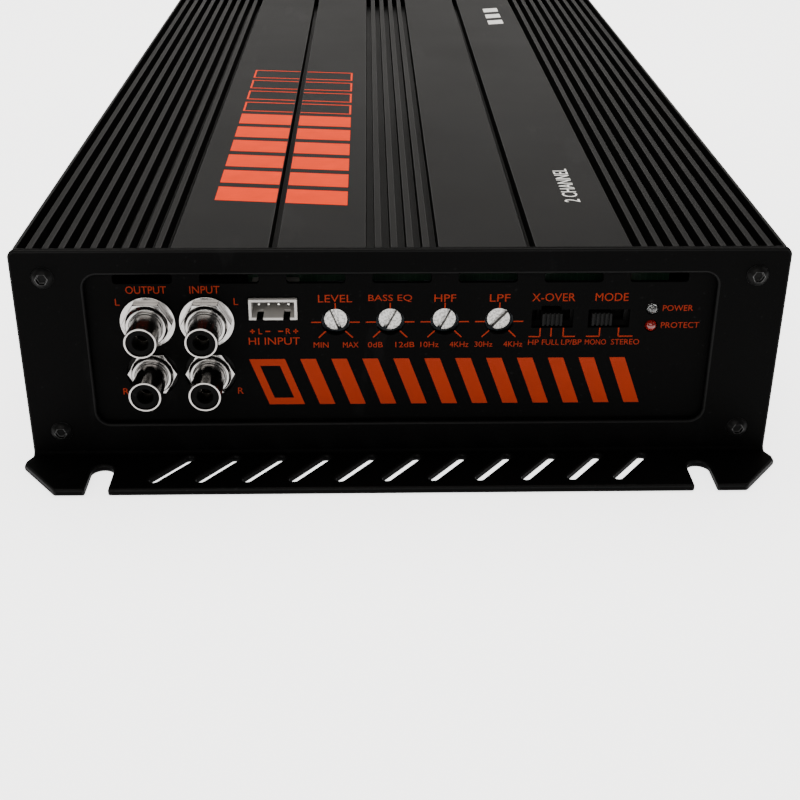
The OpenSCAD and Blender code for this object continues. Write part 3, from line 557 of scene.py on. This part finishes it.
def slab(shape, corners, away):
    """A thin solid on a flat outline: corners in order, thickness and direction as a vector."""
    verts = [shape.verts.new(corner) for corner in corners]
    face = shape.faces.new(verts)
    face.normal_update()
    if face.normal.dot(away) > 0:
        face.normal_flip()
    grown = bmesh.ops.extrude_face_region(shape, geom=[face], use_keep_orig=True)
    moved = [item for item in grown["geom"] if isinstance(item, bmesh.types.BMVert)]
    bmesh.ops.translate(shape, verts=moved, vec=away)
    bmesh.ops.recalc_face_normals(shape, faces=shape.faces[:])


def frame_slab(shape, corners, wall, away):
    """A thin hollow frame: an outline, inset by its wall and open in the middle."""
    face = shape.faces.new([shape.verts.new(corner) for corner in corners])
    face.normal_update()
    ring = bmesh.ops.inset_individual(shape, faces=[face], thickness=wall, use_even_offset=True)["faces"]
    bmesh.ops.delete(shape, geom=[face], context="FACES_ONLY")
    grown = bmesh.ops.extrude_face_region(shape, geom=ring, use_keep_orig=True)
    moved = [item for item in grown["geom"] if isinstance(item, bmesh.types.BMVert)]
    bmesh.ops.translate(shape, verts=moved, vec=away)
    bmesh.ops.recalc_face_normals(shape, faces=shape.faces[:])


def word(shape, text, height, at, width=None, turn=UPRIGHT, ink=0.03 * MM, bold=-0.006):
    """Adds a word as a thin solid: letter height and place of its middle on the printed face."""
    curve = bpy.data.curves.new("word", "FONT")
    curve.body = text
    curve.resolution_u = 3
    curve.extrude = 0.5
    curve.offset = bold
    holder = bpy.data.objects.new("word", curve)
    bpy.context.scene.collection.objects.link(holder)
    bpy.context.view_layer.update()
    mesh = bpy.data.meshes.new_from_object(holder)
    bpy.data.objects.remove(holder)
    bpy.data.curves.remove(curve)
    xs = [v.co.x for v in mesh.vertices]
    ys = [v.co.y for v in mesh.vertices]
    scale = height / (max(ys) - min(ys))
    across = scale * 1.02 if width is None else width / (max(xs) - min(xs))
    mesh.transform(Matrix.Translation((-(max(xs) + min(xs)) / 2, -(max(ys) + min(ys)) / 2, 0.5)))
    mesh.transform(Matrix.Diagonal((across, scale, ink, 1.0)))
    mesh.transform(Matrix.Translation(at) @ turn)
    shape.from_mesh(mesh)
    bpy.data.meshes.remove(mesh)


def finish_word_mesh(shape):
    """Merges the letters' doubles and points their faces outwards."""
    bmesh.ops.remove_doubles(shape, verts=shape.verts[:], dist=MERGE_PRINT)
    bmesh.ops.recalc_face_normals(shape, faces=shape.faces[:])


# ---- Operators ----


class AMP_OT_shell(bpy.types.Operator):
    """Finishes the extruded shell and the bottom cover"""

    bl_idname = "amp.shell"
    bl_label = "Shell and Cover"

    def execute(self, context):
        colours, edges = context.scene.amp_colours, context.scene.amp_edges
        satin = satin_extrusion("satin_shell", tuple(colours.shell), colours.shell_gloss, 0.063)
        # The edge finish is twice as light as the shell: a painted highlight along the fins' rounded edges,
        # on a smoother, glossier surface
        painted_edge_highlight = satin_extrusion("satin_painted_edge_highlight", lighter(tuple(colours.shell), 2.0), 0.38, 0.13)
        rounded("heatsink_shell", satin, edges.shell, 2, CORNER, painted_edge_highlight)
        rounded("bottom_cover", powder_coat("cover_coat", tuple(colours.plate), 0.55), edges.panel, 1)
        return {"FINISHED"}


class AMP_OT_plates(bpy.types.Operator):
    """Finishes both end plates with their bent mounting feet"""

    bl_idname = "amp.plates"
    bl_label = "End Plates"

    def execute(self, context):
        colours, edges = context.scene.amp_colours, context.scene.amp_edges
        coat = powder_coat("plate_coat", tuple(colours.plate), colours.plate_gloss)
        # The edge finish is twice as light as the coat: a painted highlight along the plates' rounded edges,
        # on a smoother, glossier surface
        painted_edge_highlight = powder_coat("plate_painted_edge_highlight", lighter(tuple(colours.plate), 2.0), 0.40, gloss=0.045)
        for node in ("front_end_plate", "rear_end_plate"):
            rounded(node, coat, edges.plate, 3, CORNER, painted_edge_highlight)
        return {"FINISHED"}


class AMP_OT_panels(bpy.types.Operator):
    """Finishes the recessed panels at both ends"""

    bl_idname = "amp.panels"
    bl_label = "Panels"

    def execute(self, context):
        colours, edges = context.scene.amp_colours, context.scene.amp_edges
        coat = powder_coat("panel_coat", tuple(colours.panel), 0.58, 2200.0, 0.02 * MM)
        for node in ("front_panel", "rear_panel"):
            rounded(node, coat, edges.panel, 2, CORNER)
        return {"FINISHED"}


class AMP_OT_screws(bpy.types.Operator):
    """Finishes the screws of the plates and the cover"""

    bl_idname = "amp.screws"
    bl_label = "Screws"

    def execute(self, context):
        black = moulded("black_oxide", (0.002, 0.002, 0.002), 0.3, 2600.0, 0.01 * MM, gloss=0.03)
        # The edge finish is five times as light as the heads: a painted highlight on the heads' rims and
        # socket edges, on a glossier surface
        painted_screw_edge_highlight = moulded("oxide_painted_edge_highlight", (0.010, 0.010, 0.010), 0.30, 2600.0, 0.01 * MM, gloss=0.4)
        for node in ("front_plate_screws", "rear_plate_screws", "cover_screws"):
            rounded(node, black, context.scene.amp_edges.screw, 2, CORNER, painted_screw_edge_highlight)
        return {"FINISHED"}


class AMP_OT_jacks(bpy.types.Operator):
    """Finishes the four signal jacks: barrels, nuts, washers and insulators"""

    bl_idname = "amp.jacks"
    bl_label = "Signal Jacks"

    def execute(self, context):
        edges = context.scene.amp_edges
        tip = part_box("output_left_barrel")[0].y
        # The barrels turn light in front of this depth: a painted highlight on their front lip
        rim = tip + 0.12 * MM
        chrome = turned_metal("barrel_chrome", (0.20, 0.195, 0.19), 0.12, (1.0, 6.0, 1.0), rim=rim)
        nickel = turned_metal("nut_nickel", (0.36, 0.35, 0.34), 0.12, (1.0, 1.0, 1.0), 0.016 * MM, 0.75)
        black = moulded("insulator_black", (0.001, 0.001, 0.001), 0.35, gloss=0.008)
        brass = turned_metal("contact_plate", (0.50, 0.46, 0.40), 0.22)
        for node in ("output_left_barrel", "output_right_barrel", "input_left_barrel", "input_right_barrel"):
            rounded(node, chrome, edges.metal, 3, CORNER)
        for node in ("rca_nuts", "rca_washers"):
            rounded(node, nickel, edges.metal * 0.8, 2, 25.0)
        rounded("rca_insulators", black, edges.plastic, 2, CORNER)
        dress("rca_contacts", brass)
        dress("rca_housing", moulded("jack_housing", (0.006, 0.006, 0.006), 0.5, gloss=0.05))
        return {"FINISHED"}


class AMP_OT_dials(bpy.types.Operator):
    """Finishes the four slotted dial shafts and their bodies"""

    bl_idname = "amp.dials"
    bl_label = "Dials"

    def execute(self, context):
        bright = turned_metal(
            "shaft_nickel", (0.30, 0.295, 0.285), 0.26, (1.0, 0.3, 1.0), 0.03 * MM, 0.3, fleck=(0.50, 0.6)
        )
        body = moulded("dial_body", (0.05, 0.06, 0.07), 0.45)
        for name in ("level", "bass", "high_pass", "low_pass"):
            rounded(name + "_shaft", bright, context.scene.amp_edges.metal, 2, CORNER)
            dress(name + "_pot", body)
        return {"FINISHED"}


class AMP_OT_switches(bpy.types.Operator):
    """Finishes the two slide switches"""

    bl_idname = "amp.switches"
    bl_label = "Slide Switches"

    def execute(self, context):
        knob = moulded("slider_black", (0.003, 0.003, 0.003), 0.4, gloss=0.035)
        guide = moulded("switch_guide", (0.004, 0.004, 0.004), 0.5, gloss=0.1)
        for name in ("crossover", "mode"):
            rounded(name + "_slider", knob, context.scene.amp_edges.plastic * 0.5, 2, CORNER)
            dress(name + "_switch", guide)
        return {"FINISHED"}


class AMP_OT_lamps(bpy.types.Operator):
    """Finishes the power and protect lamps"""

    bl_idname = "amp.lamps"
    bl_label = "Lamps"

    def execute(self, context):
        clear = moulded("lamp_clear", (0.55, 0.56, 0.56), 0.03, 500.0, 0.006 * MM, clear=0.96, ior=1.52)
        red = moulded("lamp_red", (0.30, 0.006, 0.002), 0.05, 500.0, 0.006 * MM, clear=0.7, ior=1.52)
        rounded("power_lamp", clear, 0.04 * MM, 1, CORNER)
        rounded("protect_lamp", red, 0.04 * MM, 1, CORNER)
        return {"FINISHED"}


class AMP_OT_header(bpy.types.Operator):
    """Finishes the speaker-level socket and its pins"""

    bl_idname = "amp.header"
    bl_label = "Speaker-level Socket"

    def execute(self, context):
        white = moulded("socket_white", (0.30, 0.29, 0.275), 0.42, 2400.0, 0.01 * MM)
        pins = turned_metal("pin_tin", (0.90, 0.89, 0.85), 0.22, (1.0, 0.2, 1.0))
        rounded("header_socket", white, context.scene.amp_edges.plastic * 0.6, 2, CORNER)
        rounded("header_pins", pins, 0.08 * MM, 1, CORNER)
        return {"FINISHED"}


class AMP_OT_terminals(bpy.types.Operator):
    """Finishes the wire clamps, the fuses and their holder"""

    bl_idname = "amp.terminals"
    bl_label = "Terminals and Fuses"

    def execute(self, context):
        edges = context.scene.amp_edges
        black = moulded("terminal_black", (0.006, 0.006, 0.0062), 0.42, gloss=0.12)
        nickel = turned_metal("clamp_nickel", (0.70, 0.66, 0.58), 0.3)
        steel = turned_metal("clamp_screw_steel", (0.62, 0.62, 0.63), 0.28, (1.0, 1.0, 4.0))
        fuse = moulded("fuse_orange", (0.75, 0.16, 0.015), 0.2, 900.0, 0.01 * MM, clear=0.25)
        for node in ("power_terminal", "speaker_terminal", "fuse_holder"):
            rounded(node, black, edges.plastic * 1.2, 2, CORNER)
        for node in ("power_contacts", "speaker_contacts"):
            rounded(node, nickel, edges.plastic * 0.6, 1, CORNER)
        screws = ["power_screw_%d" % i for i in (1, 2, 3)] + ["speaker_screw_%d" % i for i in (1, 2, 3, 4)]
        for node in screws:
            rounded(node, steel, edges.panel, 1, CORNER)
        for node in ("fuse_upper", "fuse_lower"):
            rounded(node, fuse, edges.plastic, 2, CORNER)
        return {"FINISHED"}


class AMP_OT_inner_parts(bpy.types.Operator):
    """Finishes the boards and the power parts inside"""

    bl_idname = "amp.inner_parts"
    bl_label = "Inner Parts"

    def execute(self, context):
        board = circuit_board("solder_mask", (0.006, 0.030, 0.014))
        steel = turned_metal("inner_steel", (0.6, 0.6, 0.62), 0.3)
        brass = turned_metal("standoff_brass", (0.70, 0.52, 0.22), 0.32, (1.0, 1.0, 4.0))
        dress("main_board", board)
        dress("control_board", board)
        for node in ("board_screws", "clamp_screws", "clamp_bars"):
            dress(node, steel)
        dress("board_standoffs", brass)
        dress("toroid_core", powder_coat("ferrite_coat", (0.06, 0.10, 0.06), 0.6))
        middle = centre("toroid_winding")
        dress("toroid_winding", wound_wire("enamelled_wire", (0.55, 0.20, 0.07), middle, 150))
        dress("capacitors", moulded("sleeve_blue", (0.02, 0.03, 0.07), 0.3, 500.0, 0.01 * MM))
        dress("transistors", moulded("case_black", (0.02, 0.02, 0.02), 0.5))
        dress("thermal_pads", moulded("pad_grey", (0.55, 0.55, 0.52), 0.7, 600.0, 0.04 * MM))
        return {"FINISHED"}


class AMP_OT_panel_print(bpy.types.Operator):
    """Prints the headings, captions, dial ticks and bracket lines on the control panel"""

    bl_idname = "amp.panel_print"
    bl_label = "Panel Print"

    def execute(self, context):
        marks, colours = context.scene.amp_print, context.scene.amp_colours
        ink = screen_ink("panel_ink", tuple(colours.panel_ink), 0.5)
        away = Vector((0.0, -marks.ink, 0.0))
        shape = bmesh.new()

        def put(text, x, z, height, width=None):
            word(shape, text, height, (x, PANEL_FACE, z), width, UPRIGHT, marks.ink)

        def line(x0, z0, x1, z1):
            a, b = Vector((x0, PANEL_FACE, z0)), Vector((x1, PANEL_FACE, z1))
            aside = Vector((z0 - z1, 0.0, x1 - x0)).normalized() * marks.line / 2
            slab(shape, [a + aside, b + aside, b - aside, a - aside], away)

        # Jack headings and side letters
        left, right = centre("output_left_barrel"), centre("input_right_barrel")
        top = left.z + JACK_HEADING_RISE
        put("OUTPUT", left.x + 0.1 * MM, top, marks.heading, 10.0 * MM)
        put("INPUT", right.x - 0.1 * MM, top, marks.heading, 7.4 * MM)
        for x in (left.x - JACK_LETTER_LEFT, right.x + JACK_LETTER_RIGHT):
            put("L", x, left.z + JACK_LETTER_RISE, marks.heading * 0.9)
            put("R", x, right.z - JACK_LETTER_DROP, marks.heading * 0.9)

        # Socket captions
        socket = centre("header_socket")
        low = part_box("header_socket")[0].z
        for mark, aside in SOCKET_MARKS:
            x, z = socket.x + aside * MM, low - SOCKET_MARK_DROP
            if mark in "LR":
                put(mark, x, z, marks.caption)
            else:
                line(x - SIGN_REACH, z, x + SIGN_REACH, z)
                if mark == "+":
                    line(x, z - SIGN_REACH, x, z + SIGN_REACH)
        put("HI INPUT", socket.x, low - SOCKET_HEADING_DROP, marks.heading, 12.9 * MM)

        # Dials: headings, ticks and end captions
        rows = (
            ("level_shaft", "LEVEL", 8.5, "MIN", "MAX"),
            ("bass_shaft", "BASS EQ", 10.9, "0dB", "12dB"),
            ("high_pass_shaft", "HPF", 5.4, "10Hz", "4KHz"),
            ("low_pass_shaft", "LPF", 5.1, "30Hz", "4KHz"),
        )
        for node, heading, wide, first, last in rows:
            dial = centre(node)
            put(heading, dial.x, dial.z + DIAL_HEADING_RISE, marks.heading, wide * MM)
            z = dial.z - DIAL_CAPTION_DROP
            put(first, dial.x - DIAL_CAPTION_SIDE, z, marks.caption, min(4.6, 1.25 * len(first)) * MM)
            put(last, dial.x + DIAL_CAPTION_SIDE, z, marks.caption, min(4.8, 1.3 * len(last)) * MM)
            line(dial.x, dial.z + TICK_START, dial.x, dial.z + TICK_TOP_END)
            for side in (-1, 1):
                line(dial.x + side * TICK_START, dial.z, dial.x + side * TICK_SIDE_END, dial.z)
                near, far = side * TICK_SLANT_START, side * TICK_SLANT_END
                line(dial.x + near, dial.z - TICK_SLANT_START, dial.x + far, dial.z - TICK_SLANT_END)

        # Slide switches: headings, brackets and captions
        cross, mode = centre("crossover_switch"), centre("mode_switch")
        row_z = centre("level_shaft").z
        head_z, text_z = row_z + SWITCH_HEADING_RISE, row_z - SWITCH_CAPTION_DROP
        put("X-OVER", cross.x, head_z, marks.heading * 1.08, 10.8 * MM)
        put("MODE", mode.x + 0.35 * MM, head_z, marks.heading * 1.08, 8.3 * MM)
        for node, captions in SWITCH_CAPTIONS.items():
            for text, aside, wide in captions:
                put(text, centre(node).x + aside * MM, text_z, marks.caption, wide * MM)
        for node, paths in SWITCH_BRACKETS.items():
            for path in paths:
                spots = [(centre(node).x + x * MM, text_z + BRACKET_RISES[high]) for x, high in path]
                for start, end in zip(spots, spots[1:]):
                    line(*start, *end)

        # Lamp captions
        power, protect = centre("power_lamp"), centre("protect_lamp")
        put("POWER", power.x + 6.4 * MM, power.z + 0.2 * MM, marks.caption * 1.05, 7.6 * MM)
        put("PROTECT", protect.x + 7.4 * MM, protect.z + 0.15 * MM, marks.caption * 1.05, 9.7 * MM)
        finish_word_mesh(shape)
        make_piece("panel_print", shape, ink, "case")
        return {"FINISHED"}


class AMP_OT_panel_stripes(bpy.types.Operator):
    """Prints the row of slanted stripes below the controls"""

    bl_idname = "amp.panel_stripes"
    bl_label = "Panel Stripes"

    def execute(self, context):
        marks, colours = context.scene.amp_print, context.scene.amp_colours
        ink = screen_ink("stripe_ink", tuple(colours.panel_ink), 0.46)
        away = Vector((0.0, -marks.ink, 0.0))
        shape = bmesh.new()
        high = centre("level_shaft").z - STRIPE_DROP
        low = high - marks.stripe_height
        first = centre("header_socket").x + FIRST_STRIPE
        for i in range(marks.stripes):
            x = first + i * marks.stripe_pitch
            lean = marks.stripe_slant
            slab(
                shape,
                [
                    (x, PANEL_FACE, high),
                    (x + marks.stripe_width, PANEL_FACE, high),
                    (x + lean + marks.stripe_width, PANEL_FACE, low),
                    (x + lean, PANEL_FACE, low),
                ],
                away,
            )
        frame_slab(
            shape,
            [
                (first - FRAME_START, PANEL_FACE, high),
                (first - FRAME_END, PANEL_FACE, high),
                (first - FRAME_END + marks.stripe_slant, PANEL_FACE, low),
                (first - FRAME_START + marks.stripe_slant, PANEL_FACE, low),
            ],
            FRAME_WALL,
            away,
        )
        bmesh.ops.remove_doubles(shape, verts=shape.verts[:], dist=MERGE_PRINT)
        bmesh.ops.recalc_face_normals(shape, faces=shape.faces[:])
        make_piece("panel_stripes", shape, ink, "case")
        return {"FINISHED"}


class AMP_OT_deck_print(bpy.types.Operator):
    """Prints the large orange bars and the small white marks on top of the shell"""

    bl_idname = "amp.deck_print"
    bl_label = "Deck Print"

    def execute(self, context):
        marks, colours = context.scene.amp_print, context.scene.amp_colours
        orange = screen_ink("deck_ink", tuple(colours.deck_ink), 0.5, 0.03)
        white = screen_ink("white_ink", tuple(colours.white_ink), 0.5)
        away = Vector((0.0, 0.0, marks.ink))
        near_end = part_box("heatsink_shell")[0].y
        start_y = near_end + BARS_START
        outer = LONE_GROOVE - BARS_SIDE
        inner = outer + marks.bar_length
        left_half = (outer, LONE_GROOVE - HALF_GROOVE)
        right_half = (inner, LONE_GROOVE + HALF_GROOVE)
        shape = bmesh.new()

        def lean_at(x):
            return -marks.bar_lean * (x - outer) / marks.bar_length

        def bar(y, x0, x1, wide):
            return [
                Vector((x0, y + lean_at(x0), DECK_TOP)),
                Vector((x1, y + lean_at(x1), DECK_TOP)),
                Vector((x1, y + wide + lean_at(x1), DECK_TOP)),
                Vector((x0, y + wide + lean_at(x0), DECK_TOP)),
            ]

        for i in range(marks.bars):
            y = start_y + i * marks.bar_pitch
            slab(shape, bar(y, *left_half, marks.bar_width), away)
            slab(shape, bar(y, *reversed(right_half), marks.bar_width), away)
        for i in range(marks.hollow_bars):
            low = start_y + (marks.bars + i) * marks.bar_pitch
            high, line = low + marks.bar_width, marks.bar_outline
            for (end, cut), inward in ((left_half, line), (right_half, -line)):
                path = (
                    (end, low),
                    (cut, low),
                    (cut, low + line),
                    (end + inward, low + line),
                    (end + inward, high - line),
                    (cut, high - line),
                    (cut, high),
                    (end, high),
                )
                slab(shape, [Vector((x, y + lean_at(x), DECK_TOP)) for x, y in path], away)
        bmesh.ops.recalc_face_normals(shape, faces=shape.faces[:])
        make_piece("deck_bars", shape, orange, "case")

        shape = bmesh.new()
        text_y = near_end + COUNT_Y
        place = (COUNT_X, text_y, DECK_TOP)
        word(shape, "2 CHANNEL", COUNT_HEIGHT, place, COUNT_LENGTH, ALONG_SHELL, marks.ink, 0.0)
        for i in range(TABS):
            x, y = TAB_X, text_y + TAB_Y + i * TAB_PITCH
            slab(
                shape,
                [
                    (x, y, DECK_TOP),
                    (x + TAB_WIDTH, y + TAB_LEAN, DECK_TOP),
                    (x + TAB_WIDTH, y + TAB_LEAN + TAB_LENGTH, DECK_TOP),
                    (x, y + TAB_LENGTH, DECK_TOP),
                ],
                away,
            )
        finish_word_mesh(shape)
        make_piece("deck_white_print", shape, white, "case")
        return {"FINISHED"}


class AMP_OT_stage(bpy.types.Operator):
    """Lays the pale floor, hangs the soft lights and sets up the camera"""

    bl_idname = "amp.stage"
    bl_label = "Stage"

    def execute(self, context):
        stage = context.scene.amp_stage
        shape = bmesh.new()
        bmesh.ops.create_grid(shape, x_segments=1, y_segments=1, size=FLOOR_HALF)
        bmesh.ops.translate(shape, verts=shape.verts[:], vec=(0.0, 0.0, -FLOOR_DROP))
        mesh = bpy.data.meshes.new("floor")
        shape.to_mesh(mesh)
        shape.free()
        floor = bpy.data.objects.new("floor", mesh)
        context.scene.collection.objects.link(floor)
        mesh.materials.append(studio_floor("pale_floor", (0.92, 0.92, 0.92), stage.glow))

        self.softbox("overhead_light", (0.0, 0.35, 1.15), (0.0, 0.0, 0.0), 1.3, 1.0, stage.key)
        self.softbox("front_light", (-0.25, -1.25, 0.75), (0.0, -0.1, 0.03), 1.1, 0.7, stage.fill)
        self.softbox("back_light", (0.0, 2.2, 0.72), (0.0, 0.1, 0.05), 2.2, 0.7, stage.back)
        self.softbox("left_light", (-1.2, -0.1, 0.7), (0.0, 0.0, 0.03), 0.8, 0.8, stage.side)
        self.softbox("right_light", (1.2, -0.1, 0.7), (0.0, 0.0, 0.03), 0.8, 0.8, stage.side)

        world = bpy.data.worlds.new("soft_room")
        context.scene.world = world
        world.use_nodes = True
        sky = world.node_tree.nodes["Background"]
        sky.inputs["Color"].default_value = (1.0, 1.0, 1.0, 1.0)
        sky.inputs["Strength"].default_value = stage.sky

        yaw, pitch, roll = (math.radians(v) for v in (stage.yaw, stage.pitch, stage.roll))
        ahead = Vector((math.sin(yaw) * math.cos(pitch), math.cos(yaw) * math.cos(pitch), -math.sin(pitch)))
        right = Vector((math.cos(yaw), -math.sin(yaw), 0.0))
        down = ahead.cross(right)
        right, down = (
            right * math.cos(roll) + down * math.sin(roll),
            down * math.cos(roll) - right * math.sin(roll),
        )
        turn = Matrix((right, -down, -ahead)).transposed().to_4x4()
        camera = bpy.data.cameras.new("camera")
        camera.sensor_width = 36.0
        camera.lens = stage.lens
        camera.shift_y = stage.shift
        camera.clip_start, camera.clip_end = 0.01, 50.0
        holder = bpy.data.objects.new("camera", camera)
        context.scene.collection.objects.link(holder)
        holder.matrix_world = Matrix.Translation(Vector(stage.camera)) @ turn
        context.scene.camera = holder
        return {"FINISHED"}

    def softbox(self, name, place, target, wide, high, power):
        """Hangs one soft light that points at a target."""
        light = bpy.data.lights.new(name, "AREA")
        light.shape = "RECTANGLE"
        light.size, light.size_y = wide, high
        light.energy = power
        light.color = bpy.context.scene.amp_stage.warmth
        holder = bpy.data.objects.new(name, light)
        bpy.context.scene.collection.objects.link(holder)
        holder.location = place
        holder.rotation_euler = (Vector(target) - Vector(place)).to_track_quat("-Z", "Y").to_euler()


class AMP_PT_sidebar(bpy.types.Panel):
    """Lists the steps that dress the amplifier"""

    bl_idname = "AMP_PT_sidebar"
    bl_label = "Car Amplifier"
    bl_space_type = "VIEW_3D"
    bl_region_type = "UI"
    bl_category = "Amplifier"

    def draw(self, context):
        column = self.layout.column()
        for step in STEPS:
            column.operator(step.bl_idname)
        for group in ("amp_colours", "amp_edges", "amp_print", "amp_stage"):
            settings = getattr(context.scene, group)
            box = column.box()
            for name in settings.bl_rna.properties.keys():
                if name not in ("rna_type", "name"):
                    box.prop(settings, name)


GROUPS = {"amp_colours": AmpColours, "amp_edges": AmpEdges, "amp_print": AmpPrint, "amp_stage": AmpStage}

STEPS = (
    AMP_OT_shell,
    AMP_OT_plates,
    AMP_OT_panels,
    AMP_OT_screws,
    AMP_OT_jacks,
    AMP_OT_dials,
    AMP_OT_switches,
    AMP_OT_lamps,
    AMP_OT_header,
    AMP_OT_terminals,
    AMP_OT_inner_parts,
    AMP_OT_panel_print,
    AMP_OT_panel_stripes,
    AMP_OT_deck_print,
    AMP_OT_stage,
)


def register():
    """Registers the settings, the steps and the sidebar."""
    for name, group in GROUPS.items():
        bpy.utils.register_class(group)
        setattr(bpy.types.Scene, name, PointerProperty(type=group))
    for step in STEPS:
        bpy.utils.register_class(step)
    bpy.utils.register_class(AMP_PT_sidebar)


def unregister():
    """Takes back what register added."""
    bpy.utils.unregister_class(AMP_PT_sidebar)
    for step in reversed(STEPS):
        bpy.utils.unregister_class(step)
    for name, group in reversed(list(GROUPS.items())):
        delattr(bpy.types.Scene, name)
        bpy.utils.unregister_class(group)


def main():
    """Dresses the amplifier step by step."""
    register()
    bpy.ops.amp.shell()
    bpy.ops.amp.plates()
    bpy.ops.amp.panels()
    bpy.ops.amp.screws()
    bpy.ops.amp.jacks()
    bpy.ops.amp.dials()
    bpy.ops.amp.switches()
    bpy.ops.amp.lamps()
    bpy.ops.amp.header()
    bpy.ops.amp.terminals()
    bpy.ops.amp.inner_parts()
    bpy.ops.amp.panel_print()
    bpy.ops.amp.panel_stripes()
    bpy.ops.amp.deck_print()
    bpy.ops.amp.stage()


if __name__ == "__main__":
    main()
